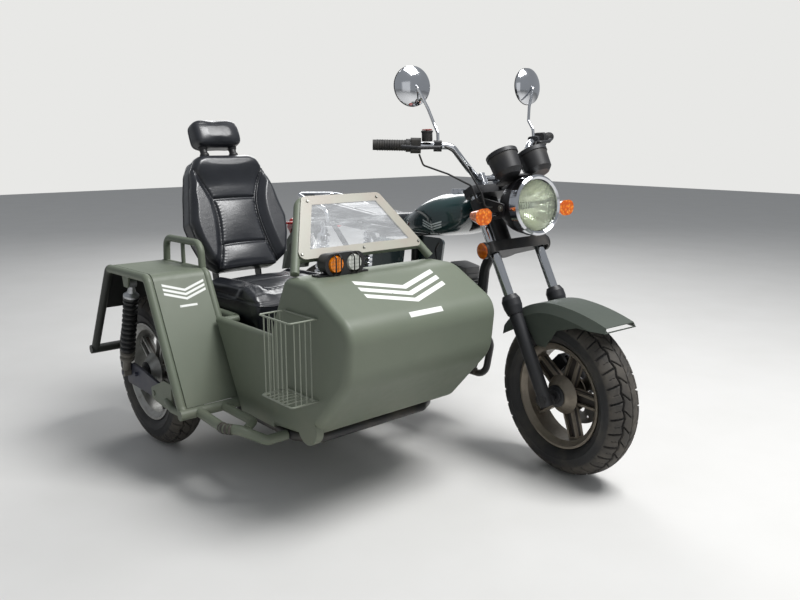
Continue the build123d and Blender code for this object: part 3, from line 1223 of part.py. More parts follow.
cushion_foot = SEAT_BOX_Z + FIT
with BuildPart() as seat_cushion:
    with BuildSketch(Plane.XZ.offset(-(SEAT_Y + SEAT_W / 2))) as cushion_side:
        with BuildLine():
            Polyline(
                (CUSHION_X[1], cushion_foot + 20), (CUSHION_X[1], 538), (CUSHION_X[1] - 30, 572),
                (CUSHION_X[1] - 110, 596), (CUSHION_X[0] + 90, 582), (CUSHION_X[0], 544),
                (CUSHION_X[0], cushion_foot), (CUSHION_X[1] - 16, cushion_foot), close=True,
            )
        make_face()
        fillet(cushion_side.vertices(), radius=12)
    extrude(amount=SEAT_W)
    fillet(seat_cushion.faces().sort_by(Axis.Y)[0].edges(), radius=12)
    fillet(seat_cushion.faces().sort_by(Axis.Y)[-1].edges(), radius=12)
keep(seat_cushion, "seat_cushion", SIDE_PLACE)

BACK_FOOT = (-1010.0, 606.0)
BACK_TOP = (-1187.8, 1024.8)
BACK_T = 112.0
back_up = (Vector(BACK_TOP[0], 0, BACK_TOP[1]) - Vector(BACK_FOOT[0], 0, BACK_FOOT[1]))
back_len = back_up.length
back_front = Plane(
    origin=(BACK_FOOT[0], SEAT_Y, BACK_FOOT[1]), x_dir=(0, 1, 0),
    z_dir=Vector(0, 1, 0).cross(back_up).normalized(),
)
with BuildPart() as seat_back:
    with BuildSketch(back_front) as back_shape:
        with BuildLine():
            Polyline(
                (-118, 0), (118, 0), (166, 38), (194, 116), (208, 190), (184, 305), (158, 394),
                (130, back_len - 15), (98, back_len), (-98, back_len), (-130, back_len - 15), (-158, 394),
                (-184, 305), (-208, 190), (-194, 116), (-166, 38), close=True,
            )
        make_face()
        fillet(back_shape.vertices(), radius=24)
    extrude(amount=BACK_T if back_front.z_dir.X < 0 else -BACK_T)
    fillet(seat_back.faces().sort_by(Axis.X)[0].edges(), radius=20)
keep(seat_back, "seat_back", SIDE_PLACE)

HEAD_FOOT = 26.0
HEAD_H = 110.0
HEAD_W = 192.0
HEAD_T = 92.0
with BuildPart() as headrest:
    depth_sign = 1 if back_front.z_dir.X < 0 else -1
    with BuildSketch(back_front.offset(depth_sign * 10)):
        with Locations((0, back_len + HEAD_FOOT + HEAD_H / 2)):
            RectangleRounded(HEAD_W, HEAD_H, 40)
    extrude(amount=depth_sign * HEAD_T)
    fillet(headrest.faces().sort_by(Axis.X)[-1].edges(), radius=20)
    fillet(headrest.faces().sort_by(Axis.X)[0].edges(), radius=20)
    for side in (-60, 60):
        base = back_front.from_local_coords((side, back_len + FIT, depth_sign * 56))
        tip = back_front.from_local_coords((side, back_len + HEAD_FOOT + 20, depth_sign * 56))
        tube([tuple(base), tuple(tip)], 12)
keep(headrest, "headrest", SIDE_PLACE)
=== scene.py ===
# %% [markdown]
# A light motorcycle with a sheet-metal sidecar, dressed over its CAD model.
# The CAD model comes in as a fixed frame: every tube, sheet and wheel already has its place.
# Here each visible surface gets its finish, soft parts get their real swell and seams, and the
# small things that make it real are added: tread, bolts, painted border, tape, dials.

# %% The frame
import math

import bmesh
import bpy
import numpy as np
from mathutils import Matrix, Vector
from mathutils.bvhtree import BVHTree


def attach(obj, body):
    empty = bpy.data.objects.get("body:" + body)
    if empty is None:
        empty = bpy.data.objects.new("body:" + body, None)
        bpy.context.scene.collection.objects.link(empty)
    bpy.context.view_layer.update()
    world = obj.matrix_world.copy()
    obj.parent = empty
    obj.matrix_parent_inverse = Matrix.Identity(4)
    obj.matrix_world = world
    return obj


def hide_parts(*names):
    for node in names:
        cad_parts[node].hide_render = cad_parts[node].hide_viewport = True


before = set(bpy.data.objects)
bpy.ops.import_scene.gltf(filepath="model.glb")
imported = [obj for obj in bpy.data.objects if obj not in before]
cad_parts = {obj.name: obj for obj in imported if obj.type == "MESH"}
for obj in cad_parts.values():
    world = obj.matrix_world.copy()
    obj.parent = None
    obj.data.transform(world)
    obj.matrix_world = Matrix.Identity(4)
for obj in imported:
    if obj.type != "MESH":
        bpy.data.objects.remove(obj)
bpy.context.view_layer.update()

# %% [markdown]
# The drawing frame has its origin on the floor under the front axle, in the motorcycle's middle
# plane. Three short functions carry points from there to the vehicle: the sidecar's pieces are
# only moved, the motorcycle's also lean, and the fork's turn about the raked head first.

# %% Places
FRONT_X, BIKE_Y, LEAN, TURN, RAKE = 0.664, 0.280, 2.5, 9.0, 29.0
OFFSET, WHEEL_R = 0.048, 0.265
SLOPE = np.array([-math.sin(math.radians(RAKE)), 0.0, math.cos(math.radians(RAKE))])
AHEAD = np.array([math.cos(math.radians(RAKE)), 0.0, math.sin(math.radians(RAKE))])
HEAD = np.array([-OFFSET / math.cos(math.radians(RAKE)), 0.0, WHEEL_R])


def turned(points, axis, degrees, centre=(0, 0, 0)):
    """Rodrigues' rule: p cos a + (k x p) sin a + k (k . p)(1 - cos a), about a centre."""
    points = np.asarray(points, float) - centre
    axis = np.asarray(axis, float) / np.linalg.norm(axis)
    a = math.radians(degrees)
    along = (points @ axis)[..., None] * axis
    return points * math.cos(a) + np.cross(axis, points) * math.sin(a) + along * (1 - math.cos(a)) + centre


def on_side(points):
    return np.asarray(points, float) + (FRONT_X, BIKE_Y, 0)


def on_bike(points):
    return turned(points, (1, 0, 0), -LEAN) + (FRONT_X, BIKE_Y, 0)


def on_fork(points):
    return on_bike(turned(points, SLOPE, -TURN, HEAD))


def leg(along, side=0.0, ahead=0.0):
    """A point beside the fork legs: along their slope from the axle, sideways and ahead."""
    return np.array([0, side, WHEEL_R]) + SLOPE * along + AHEAD * ahead


def way(place, vector):
    """A direction carried by a place function."""
    return place(np.asarray(vector, float)) - place(np.zeros(3))


# Each wheel: its place function, its middle, its tyre's width, its body, its hub's half width.
WHEELS = {
    "front": (on_fork, (0, 0, WHEEL_R), 0.132, "front_wheel", 0.048),
    "rear": (on_bike, (-1.3, 0, WHEEL_R), 0.132, "rear_wheel", 0.058),
    "side": (on_side, (-1.110, -0.870, WHEEL_R), 0.116, "side_wheel", 0.050),
}
SIDES = ((1, "left"), (-1, "right"))
print("front axle at", on_fork((0, 0, WHEEL_R)).round(3))

# %% [markdown]
# The camera stands where the photograph's did: just over a metre high, to the right and ahead,
# looking 12 degrees down. A plain pale floor and three soft lamps show the colours as they are.

# %% Camera, floor and light
scene = bpy.context.scene
CAMERA_AT = (2.0612, -1.6608, 1.0682)
PITCH, HEADING = math.radians(12.040), math.radians(48.694)
FOCUS_PX, WIDTH_PX, SENSOR_MM = 760.0, 800.0, 36.0
camera = bpy.data.objects.new("camera", bpy.data.cameras.new("camera"))
camera.location = CAMERA_AT
camera.rotation_euler = (math.pi / 2 - PITCH, 0, HEADING)
camera.data.sensor_width = SENSOR_MM
camera.data.lens = FOCUS_PX * SENSOR_MM / WIDTH_PX
camera.data.clip_start = 0.01
scene.collection.objects.link(camera)
scene.camera = camera
scene.view_settings.view_transform = "Standard"

# Each lamp: its name, where it is, what it faces, its size in metres and its watts.
LAMPS = (
    ("key", (1.9, 0.8, 4.3), (0, -0.2, 0.4), 2.0, 235.0),
    ("fill", (4.4, -1.6, 1.6), (0, 0, 0.5), 2.6, 9.0),
    ("rim", (-3.4, 2.6, 3.4), (0, 0, 0.6), 2.4, 90.0),
)
for lamp_name, at, target, size, watts in LAMPS:
    light = bpy.data.lights.new(lamp_name, "AREA")
    light.energy, light.size = watts, size
    lamp = bpy.data.objects.new(lamp_name, light)
    aim = np.array(target) - np.array(at)
    lamp.location = at
    heading = math.atan2(aim[1], aim[0]) - math.pi / 2
    lamp.rotation_euler = (math.acos(-aim[2] / np.linalg.norm(aim)), 0, heading)
    scene.collection.objects.link(lamp)
print("lamps", [row[0] for row in LAMPS])

# %% [markdown]
# Shader maths reads like school algebra when a socket is wrapped in a small class: adding or
# multiplying two of them adds the Math node that does it. `Finish` holds one material and has a
# single method for every other node: its type, its settings, then its sockets.

# %% The shader helpers


class Wire:
    """One output socket of a finish. Sums on it become Math nodes."""

    def __init__(self, finish, socket):
        self.finish, self.socket = finish, socket

    def math(self, operation, *values):
        return self.finish.node("Math", {"operation": operation}, dict(enumerate(values)))

    def __rsub__(self, other):
        return self.math("SUBTRACT", other, self)

    def ramp(self, low, high, to_low=0.0, to_high=1.0):
        """Smoothly from to_low at low up to to_high at high, flat beyond."""
        if low > high:
            low, high, to_low, to_high = high, low, to_high, to_low
        return self.finish.node("MapRange", {"interpolation_type": "SMOOTHSTEP"}, {
            "Value": self, "From Min": low, "From Max": high, "To Min": to_low, "To Max": to_high})


OPERATIONS = {
    "__add__": "ADD", "__radd__": "ADD", "__sub__": "SUBTRACT", "__mul__": "MULTIPLY",
    "__rmul__": "MULTIPLY", "__pow__": "POWER", "__abs__": "ABSOLUTE", "fract": "FRACT",
    "sin": "SINE", "least": "MINIMUM", "most": "MAXIMUM"}
for method, operation in OPERATIONS.items():
    setattr(Wire, method, lambda self, *others, kind=operation: self.math(kind, self, *others))


class Finish:
    """A procedural material around one Principled shader."""

    def __init__(self, name, **constants):
        self.material = bpy.data.materials.new(name)
        self.material.use_nodes = True
        self.tree = self.material.node_tree
        self.shader = self.tree.nodes["Principled BSDF"]
        self.out = self.tree.nodes["Material Output"]
        for socket, value in constants.items():
            self.shader.inputs[socket.replace("_", " ")].default_value = value
        self.material.diffuse_color = constants.get("Base_Color", (0.5, 0.5, 0.5, 1))
        self._place = None

    def put(self, target, value):
        if isinstance(value, Wire):
            self.tree.links.new(value.socket, target)
        else:
            target.default_value = value

    def node(self, kind, settings=None, sockets=None, output=0):
        node = self.tree.nodes.new("ShaderNode" + kind)
        for key, value in (settings or {}).items():
            setattr(node, key, value)
        for key, value in (sockets or {}).items():
            self.put(node.inputs[key], value)
        return Wire(self, node.outputs[output])

    @property
    def place(self):
        if self._place is None:
            self._place = self.node("TexCoord", output="Object")
        return self._place

    def axis(self, index):
        return self.node("SeparateXYZ", sockets={0: self.place}, output=index)

    def away(self, origin):
        """The vector from an origin to the shaded point."""
        return self.node("VectorMath", {"operation": "SUBTRACT"}, {0: self.place, 1: tuple(origin)})

    def along(self, origin, direction):
        """Distance from an origin along a direction: (P - origin) . direction."""
        return self.node("VectorMath", {"operation": "DOT_PRODUCT"}, {
            0: self.away(origin), 1: tuple(direction)}, "Value")

    def noise(self, scale, detail=3.0, rough=0.55, stretch=None, seed=0.0):
        where = self.place
        if stretch or seed:
            where = self.node("Mapping", sockets={
                "Vector": self.place, "Scale": stretch or (1, 1, 1), "Location": (seed, seed * 0.7, -seed)})
        return self.node("TexNoise", sockets={
            "Vector": where, "Scale": scale, "Detail": detail, "Roughness": rough}, output="Fac")

    def cells(self, scale):
        return self.node("TexVoronoi", sockets={"Vector": self.place, "Scale": scale}, output="Distance")

    def ribs(self, scale):
        """Waves along Y and Z together, 0 to 1."""
        return ((self.axis(1) * scale).sin() + (self.axis(2) * scale).sin()) * 0.25 + 0.5

    def mix(self, share, first, second):
        def colour(value):
            return value if isinstance(value, Wire) else (*value[:3], 1.0)
        return self.node("Mix", {"data_type": "RGBA"}, {
            "Factor": share, 6: colour(first), 7: colour(second)}, output=2)

    def bump(self, height, distance, strength, under=None):
        sockets = {"Height": height, "Distance": distance, "Strength": strength}
        if under is not None:
            sockets["Normal"] = under
        return self.node("Bump", sockets=sockets)

    def set(self, **sockets):
        for socket, value in sockets.items():
            self.put(self.shader.inputs[socket.replace("_", " ")], value)
        return self

    def grain(self, scale, detail, distance, strength, stretch=None):
        """Fine noise as a bump over the whole surface."""
        return self.set(Normal=self.bump(self.noise(scale, detail, stretch=stretch), distance, strength))

    def over(self, share, colour):
        """Lays a colour over the one that the finish has so far."""
        under = Wire(self, self.shader.inputs["Base Color"].links[0].from_socket)
        return self.set(Base_Color=self.mix(share, under, colour))


def linear(*srgb):
    """A colour as seen on screen, 0 to 255, as the light values a shader wants."""
    c = np.array(srgb) / 255.0
    return tuple(np.where(c <= 0.04045, c / 12.92, ((c + 0.055) / 1.055) ** 2.4).round(4)) + (1.0,)


print("shader helpers ready")

# %% Floor, wall and sky
floor_finish = Finish("pale_floor", Roughness=0.9)
floor_finish.set(Base_Color=floor_finish.mix(
    floor_finish.noise(3.0, 5.0), linear(204, 203, 200), linear(213, 212, 210)))
floor_points = [(-14, -14, 0), (14, -14, 0), (14, 14, 0), (-14, 14, 0)]
floor_mesh = bpy.data.meshes.new("floor")
floor_mesh.from_pydata([(x, y, -0.0005) for x, y, z in floor_points], [], [(0, 1, 2, 3)])
floor = bpy.data.objects.new("floor", floor_mesh)
floor.data.materials.append(floor_finish.material)
scene.collection.objects.link(floor)

world = bpy.data.worlds.new("studio")
world.use_nodes = True
scene.world = world
sky = world.node_tree.nodes
links = world.node_tree.links
seen = sky.new("ShaderNodeLightPath")
clear = sky.new("ShaderNodeMath")
clear.operation = "MAXIMUM"
links.new(seen.outputs["Is Camera Ray"], clear.inputs[0])
links.new(seen.outputs["Is Transmission Ray"], clear.inputs[1])
shade = sky.new("ShaderNodeMixShader")
lit, back = sky["Background"], sky.new("ShaderNodeBackground")
lit.inputs["Color"].default_value = (0.86, 0.90, 0.95, 1)
lit.inputs["Strength"].default_value = 0.36
back.inputs["Color"].default_value = linear(232, 232, 230)
back.inputs["Strength"].default_value = 1.0
links.new(clear.outputs[0], shade.inputs[0])
links.new(lit.outputs[0], shade.inputs[1])
links.new(back.outputs[0], shade.inputs[2])
links.new(shade.outputs[0], sky["World Output"].inputs["Surface"])
print("floor and sky ready")

# %% [markdown]
# Paints and metals. Military olive paint is matt, a little uneven in tone, dusty low down, and
# rubbed paler where hands and boots pass. Each finish below is one function of position: large
# soft noise for tone, fine noise for the orange-peel bump, and height above the floor for dust.

# %% Finishes of painted and bare metal
DUST = linear(150, 140, 122)
OLIVE, OLIVE_PALE = linear(100, 108, 93), linear(114, 120, 104)


def toned(tone, factor, lift=0.0):
    """A colour made lighter or darker."""
    return [min(1, value * factor + lift) for value in tone[:3]]


def low_dust(f, most):
    """Share of road dust: falls with height, broken up by noise."""
    height = f.axis(2).ramp(0.05, 0.42, 1.0, 0.0)
    return height * f.noise(9.0, 6.0, seed=3).ramp(0.35, 0.75) * most


def painted(name, tone=OLIVE, worn=OLIVE_PALE, rough=0.5, dust=0.35):
    """Sheet paint: two near tones, fine orange peel, hair scratches and low dust."""
    f = Finish(name, Base_Color=tone)
    colour = f.mix(f.noise(2.6, 4.0).ramp(0.3, 0.7) * 0.45, tone, worn)
    hair = f.noise(26.0, 8.0, 0.7, stretch=(1.0, 0.12, 1.0), seed=5).ramp(0.68, 0.74)
    colour = f.mix(hair * 0.225, colour, toned(worn, 1.9, 0.05))
    specks = f.cells(190.0).ramp(0.10, 0.05) * f.noise(7.0, 2.0, seed=2).ramp(0.52, 0.66)
    colour = f.mix(specks * 0.35, colour, toned(tone, 0.45))
    dusty = low_dust(f, dust)
    f.set(Base_Color=f.mix(dusty, colour, DUST),
          Roughness=(f.noise(34.0, 4.0, seed=1) - 0.5) * 0.16 + rough + dusty * 0.3)
    return f.grain(420.0, 2.0, 0.0003, 0.35)


olive = painted("olive_paint")
olive_dark = painted("mudguard_paint", linear(68, 75, 68), linear(80, 86, 77), 0.46, 0.15)
black_paint = painted("black_paint", linear(24, 25, 27), linear(38, 38, 39), 0.38, 0.30)
satin_black = painted("satin_black", linear(30, 31, 34), linear(42, 42, 44), 0.46, 0.1)
blue_grey = painted("blue_grey_paint", linear(46, 50, 66), linear(58, 60, 72), 0.5, 0.25)
wire_paint = painted("wire_paint", linear(128, 134, 120), linear(150, 154, 142), 0.42, 0.15)


def metal(name, tone, rough, grain=0.0, dust=0.2, stretch=(1, 1, 1)):
    """Bare metal: tone and roughness drift with soft noise, grain along one direction, dust low."""
    f = Finish(name, Base_Color=tone)
    cloud = f.noise(12.0, 5.0).ramp(0.3, 0.7)
    dusty = low_dust(f, dust)
    f.set(Base_Color=f.mix(dusty, f.mix(cloud * 0.3, tone, toned(tone, 0.72)), DUST),
          Metallic=1.0 - dusty * 0.8, Roughness=cloud * 0.08 + rough + dusty * 0.4)
    return f.grain(260.0, 3.0, 0.0004, grain, stretch) if grain else f


chrome = metal("chrome", linear(214, 216, 220), 0.07, dust=0.1)
steel = metal("steel", linear(150, 150, 150), 0.34, 0.4, stretch=(1, 0.1, 1))
zinc = metal("zinc_bolts", linear(138, 138, 132), 0.36, 0.2)
cast_alloy = metal("cast_alloy", linear(112, 112, 112), 0.5, 0.5, dust=0.35)
mirror_glass = metal("mirror_glass", linear(225, 230, 235), 0.02, dust=0.0)
print("painted and metal finishes ready")

# %% [markdown]
# The cast wheels are metallic paint, with painted shade in the channels of their spokes: the floors
# of the channels are coloured dark where the recess lies in shade. The paint knows where it is from
# two sums: distance along the axle from the wheel's middle, and distance from the axle. The floors of the
# channels lie 4 mm from the middle plane, and nothing else does.

# %% Wheel finishes


def cast_wheel(name, key, tone, dark):
    f = Finish(name, Base_Color=tone)
    place, middle = WHEELS[key][:2]
    centre, axle = place(np.array(middle)), way(place, (0, 1, 0))
    across = abs(f.along(centre, axle))
    reach = f.node("VectorMath", {"operation": "LENGTH"}, {0: f.away(centre)}, "Value")
    # Painted shade: the recessed floor of each spoke channel is pulled toward the dark colour, less metallic
    # and rougher.
    channel_shade = across.ramp(0.0052, 0.0047) * reach.ramp(0.040, 0.043) * reach.ramp(0.1425, 0.1415)
    grime = f.noise(38.0, 6.0).ramp(0.45, 0.8) * 0.45
    colour = f.mix(grime, tone, linear(86, 74, 60))
    f.set(Base_Color=f.mix(channel_shade * 0.94, colour, dark), Metallic=0.55 - channel_shade * 0.5 - grime * 0.3,
          Roughness=grime * 0.3 + 0.36 + channel_shade * 0.2)
    return f.grain(300.0, 3.0, 0.0004, 0.4)


# The last colour of each wheel is the painted shade in its spoke channels.
rim_finish = {
    "front": cast_wheel("bronze_wheel", "front", linear(128, 120, 108), linear(34, 28, 26)),
    "rear": cast_wheel("bronze_wheel_rear", "rear", linear(124, 116, 104), linear(34, 28, 26)),
    "side": cast_wheel("silver_wheel", "side", linear(168, 168, 164), linear(70, 60, 54)),
}
print("wheel finishes", list(rim_finish))

# %% [markdown]
# Rubber, leather, plastic and glass. Leather gets its grain from a field of small cells and its
# creases from stretched noise; coloured lenses are deep, glossy plastic over a ribbed bump.

# %% Soft and clear finishes


def rubber(name, tone, rough, dust, grain):
    f = Finish(name, Base_Color=tone)
    dusty = f.noise(11.0, 6.0).ramp(0.42, 0.75) * dust
    f.set(Base_Color=f.mix(dusty, f.mix(f.noise(40.0, 3.0) * 0.5, tone, toned(tone, 1.5)), DUST),
          Roughness=dusty * 0.2 + rough)
    return f.grain(380.0, 2.0, 0.0003, grain)


def leather(name, tone):
    """Glossy coated hide: pebble grain of cells, long creases, gloss rubbed duller in patches."""
    f = Finish(name, Base_Color=tone, Coat_Weight=0.3, Coat_Roughness=0.22, Specular_IOR_Level=0.55)
    crease = f.noise(30.0, 5.0, 0.65, stretch=(1.0, 0.5, 1.6), seed=4)
    rubbed = f.noise(5.0, 3.0, seed=8).ramp(0.35, 0.7)
    f.set(Base_Color=f.mix(rubbed * 0.5, tone, toned(tone, 1.7, 0.004)), Roughness=rubbed * 0.12 + 0.27)
    pebbles = f.cells(420.0).ramp(0.0, 0.6)
    return f.set(Normal=f.bump(pebbles, 0.00022, 0.4, under=f.bump(crease, 0.0016, 0.35)))


def plastic(name, tone, rough, dust=0.12):
    f = Finish(name, Base_Color=tone)
    dusty = f.noise(8.0, 5.0, seed=6).ramp(0.45, 0.8) * dust
    f.set(Base_Color=f.mix(dusty, f.mix(f.noise(14.0, 3.0) * 0.4, tone, toned(tone, 1.35, 0.002)), DUST),
          Roughness=f.noise(30.0, 3.0) * 0.1 + rough)
    return f.grain(520.0, 2.0, 0.00025, 0.25)


def lens(name, tone, deep):
    """Coloured lens: ribs by sines across it, darker between them, under a clear gloss."""
    f = Finish(name, Base_Color=tone, Roughness=0.12, Coat_Weight=0.8, Coat_Roughness=0.04)
    wave = f.ribs(420.0)
    cloud = f.noise(30.0, 3.0).ramp(0.3, 0.75)
    return f.set(Base_Color=f.mix(wave * 0.5 + cloud * 0.5, deep, tone), Normal=f.bump(wave, 0.0012, 0.6))


grip_rubber = rubber("grip_rubber", linear(26, 26, 27), 0.6, 0.12, 0.6)
seat_leather = leather("seat_leather", linear(26, 28, 33))
black_plastic = plastic("black_plastic", linear(30, 30, 32), 0.42)
amber_lens = lens("amber_lens", linear(242, 140, 22), linear(176, 74, 10))
red_lens = lens("red_lens", linear(176, 22, 16), linear(96, 8, 8))
print("soft and clear finishes ready")

# %% [markdown]
# The tank is gloss teal lacquer: a dark, slightly mottled base under a hard clear coat. The badges
# are plain white stencils, three nested chevrons over a bar, worked out from two distances.

# %% Tank lacquer and stencils


def chevrons(across, up, half):
    """Share 0..1 inside three nested chevrons over a short bar: bands of up - |across| / 3."""
    band = (up - abs(across) * 0.34) * (1 / (half * 0.2))
    stripe = abs(band.fract() - 0.5).ramp(0.31, 0.26)
    inside = band.ramp(-1.03, -1.0) * band.ramp(2.0, 1.97)
    wide = abs(across).ramp(half, half * 0.98)
    short = abs(across).ramp(half * 0.42, half * 0.40)
    bar = abs(up + half * 0.42).ramp(half * 0.055, half * 0.045) * short
    return (stripe * inside * wide).most(bar)


def add_stencil(f, origin, across_way, up_way, faces, half, deep=0.06, white=(0.80, 0.81, 0.78)):
    """Lays a white stencil over whatever colour the finish has, on the faces that point one way."""
    across, up = f.along(origin, across_way), f.along(origin, up_way)
    share = chevrons(across, up, half) * abs(f.along(origin, faces)).ramp(deep, deep * 0.8)
    worn = f.noise(70.0, 6.0, 0.7, seed=9).ramp(0.28, 0.38)
    return f.over(share * worn * 0.93, white)


def lacquer(name):
    f = Finish(name, Coat_Weight=1.0, Coat_Roughness=0.03)
    cloud = f.noise(4.0, 4.0).ramp(0.3, 0.7)
    return f.set(Base_Color=f.mix(cloud * 0.6, linear(20, 44, 46), linear(30, 60, 60)),
                 Roughness=cloud * 0.08 + 0.22)


teal_plain = lacquer("teal_panel")
teal = lacquer("teal_lacquer").grain(90.0, 2.0, 0.0002, 0.12)
tank_ways = [way(on_bike, axis) for axis in ((1, 0, 0), (0, 0, 1), (0, 1, 0))]
add_stencil(teal, on_bike((-0.540, -0.130, 0.750)), *tank_ways, 0.044, 0.03, (0.62, 0.68, 0.66))
nose_paint = painted("nose_paint")
add_stencil(nose_paint, on_side((-0.150, -0.530, 0.632)), (0, 1, 0), (-0.88, 0, 0.475),
            (0.475, 0, 0.88), 0.150)
guard_paint = painted("guard_paint")
add_stencil(guard_paint, on_side((-0.842, -0.884, 0.572)), (0, 1, 0), (-0.449, 0, 0.893),
            (0.893, 0, 0.449), 0.072)
print("lacquer and stencil ready")

# %% [markdown]
# New pieces are surfaces on a grid: an array of points with two running numbers. `grid_faces`
# joins neighbours and, where it is asked to, the ends of a full circle. `piece` turns points and
# faces into a mesh, and sees that a closed shape faces outward by the sign of its volume.

# %% The mesh helpers


def grid_faces(rows, columns, wrap_rows=False, wrap_columns=False):
    """Quads between neighbours: (i, j), (i+1, j), (i+1, j+1), (i, j+1)."""
    i = np.arange(rows if wrap_rows else rows - 1)[:, None]
    j = np.arange(columns if wrap_columns else columns - 1)[None, :]
    i2, j2 = (i + 1) % rows, (j + 1) % columns
    quads = np.stack([i * columns + j, i2 * columns + j, i2 * columns + j2, i * columns + j2], -1)
    return quads.reshape(-1, 4)


def volume_of(points, faces):
    """Six times the signed volume: the sum over triangles of a . (b x c)."""
    a, b, c = points[faces[:, 0]], points[faces[:, 1]], points[faces[:, 2]]
    total = np.einsum("ij,ij->i", a, np.cross(b, c)).sum()
    if faces.shape[1] == 4:
        d = points[faces[:, 3]]
        total += np.einsum("ij,ij->i", a, np.cross(c, d)).sum()
    return total


def facing_out(points, faces):
    """The faces, turned over if the volume inside them comes out negative."""
    return faces[:, ::-1] if volume_of(points - points.mean(0), faces) < 0 else faces


def piece(name, points, faces, body, finish, smooth=True, merge=0.0, replaces=(), slot=None, sharp=None):
    """A mesh object from arrays, ridden on a body, with its finish. Volume decides its facing."""
    points = np.asarray(points, float).reshape(-1, 3)
    mesh = bpy.data.meshes.new(name)
    mesh.from_pydata(points.tolist(), [], facing_out(points, faces).tolist())
    if merge:
        work = bmesh.new()
        work.from_mesh(mesh)
        bmesh.ops.remove_doubles(work, verts=work.verts, dist=merge)
        work.to_mesh(mesh)
        work.free()
    mesh.polygons.foreach_set("use_smooth", np.full(len(mesh.polygons), smooth))
    if sharp is not None:
        mesh.set_sharp_from_angle(angle=math.radians(sharp))
    made = bpy.data.objects.new(name, mesh)
    made.data.materials.append(finish.material)
    scene.collection.objects.link(made)
    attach(made, body)
    if replaces:
        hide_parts(*replaces)
    return made


def joined(parts):
    """Several (points, faces) pairs of quads as one pair."""
    points, faces, start = [], [], 0
    for some_points, some_faces in parts:
        some_points = np.asarray(some_points, float).reshape(-1, 3)
        points.append(some_points)
        faces.append(some_faces + start)
        start += len(some_points)
    return np.concatenate(points), np.concatenate(faces)


def upright(axis):
    """Two directions square to an axis and to each other."""
    axis = np.asarray(axis, float) / np.linalg.norm(axis)
    guess = np.array([0.0, 0.0, 1.0]) if abs(axis[2]) < 0.9 else np.array([1.0, 0.0, 0.0])
    first = np.cross(guess, axis)
    first /= np.linalg.norm(first)
    return first, np.cross(axis, first), axis


def circle(u, v, sides):
    """Directions round a circle: u cos t + v sin t."""
    t = np.arange(sides) / sides * 2 * math.pi
    return u * np.cos(t)[:, None] + v * np.sin(t)[:, None]


def lathe(profile, foot, axis, sides=32, place=None, loop=False):
    """Turned shape: foot + axis * along + radius * circle, to its poles, or a loop off the axis."""
    u, v, axis = upright(axis)
    radius, along = np.asarray(profile, float).T[..., None, None]
    points = np.asarray(foot, float) + axis * along + circle(u, v, sides)[None] * radius
    flat = (place(points) if place else points).reshape(-1, 3)
    return flat, facing_out(flat, grid_faces(len(profile), sides, loop, True))


def smooth_path(corners, count):
    """Catmull-Rom curve through the corners, evenly numbered."""
    corners = np.asarray(corners, float)
    ends = np.vstack([2 * corners[0] - corners[1], corners, 2 * corners[-1] - corners[-2]])
    t = np.linspace(0, len(corners) - 1 - 1e-9, count)
    k = t.astype(int)
    f = (t - k)[:, None]
    a, b, c, d = ends[k], ends[k + 1], ends[k + 2], ends[k + 3]
    square, cube = (2 * a - 5 * b + 4 * c - d) * f ** 2, (3 * b - a - 3 * c + d) * f ** 3
    return 0.5 * (2 * b + (c - a) * f + square + cube)


def pipe(path, radius, sides=10, place=None):
    """Round section carried along a path, its frame taken from one steady guide; ends closed."""
    path = np.asarray(path, float)
    tangent = np.gradient(path, axis=0)
    tangent /= np.linalg.norm(tangent, axis=1)[:, None]
    guide = np.eye(3)[int(np.argmin(np.ptp(path, axis=0)))]
    u = np.cross(guide, tangent)
    u /= np.linalg.norm(u, axis=1)[:, None]
    v = np.cross(tangent, u)
    radius = np.broadcast_to(radius, len(path))[:, None, None]
    tube = path[:, None] + radius * circle(u[:, None], v[:, None], sides)
    ends = [np.repeat(end[:, None], sides, 1) for end in (path[:1], path[-1:])]
    points = np.concatenate([ends[0], tube, ends[1]])
    flat = (place(points) if place else points).reshape(-1, 3)
    return flat, facing_out(flat, grid_faces(len(points), sides, wrap_columns=True))


def bolts(places, axis, head=0.006, tall=0.004, washer=1.6, sides=6, place=None):
    """Hexagon heads on thin washers, one at each place."""
    disc = [(0, 0), (head * washer, 0), (head * washer, tall * 0.3), (0, tall * 0.3)]
    nut = [(0, tall * 0.2), (head, tall * 0.2), (head, tall), (head * 0.8, tall * 1.2), (0, tall * 1.2)]
    made = []
    for at in places:
        made += [lathe(disc, at, axis, 14, place), lathe(nut, at, axis, sides, place)]
    return joined(made)


def on_fork_lathe(name, finish, profile, foot, axis, sides, loop=False, **extra):
    """A turned piece that rides on the fork."""
    return piece(name, *lathe(profile, foot, axis, sides, on_fork, loop), "fork", finish, **extra)


def dress(name, finish):
    """A CAD node keeps its shape and gets a finish."""
    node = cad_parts[name]
    for holder in node.material_slots:
        holder.material = finish.material
    if not node.material_slots:
        node.data.materials.append(finish.material)


print("mesh helpers ready")

# %% [markdown]
# CAD nodes whose shape is right keep it, and only take a finish.

# %% Finishes on the CAD nodes
WEARS = (
    (steel, "brake_disc"),
    (chrome, "fork_tubes handlebar mirrors exhaust tank_cap grab_rail rear_shocks"),
    (satin_black, "fork_legs fork_clamps levers brake_caliper"),
    (black_paint, "main_frame swing_arm chain_case sidecar_chassis sidecar_struts seat_box"),
    (olive, "sidecar_tub windscreen_frame"),
    (olive_dark, "front_mudguard rear_mudguard"),
    (nose_paint, "nose_shell"),
    (guard_paint, "wheel_mudguard"),
    (blue_grey, "side_arm"),
    (wire_paint, "wire_basket"),
    (teal_plain, "side_covers"),
    (cast_alloy, "engine_case engine_cylinder"),
    (black_plastic, "fork_band gauges lamp_pair"),
    (grip_rubber, "grips control_cables footpegs"),
    (red_lens, "tail_lamp"),
    *((wear, f"{key}_rim") for key, wear in rim_finish.items()),
)
for wear, node_names in WEARS:
    for node_name in node_names.split():
        dress(node_name, wear)
print(sum(len(node_names.split()) for wear, node_names in WEARS), "CAD nodes dressed")

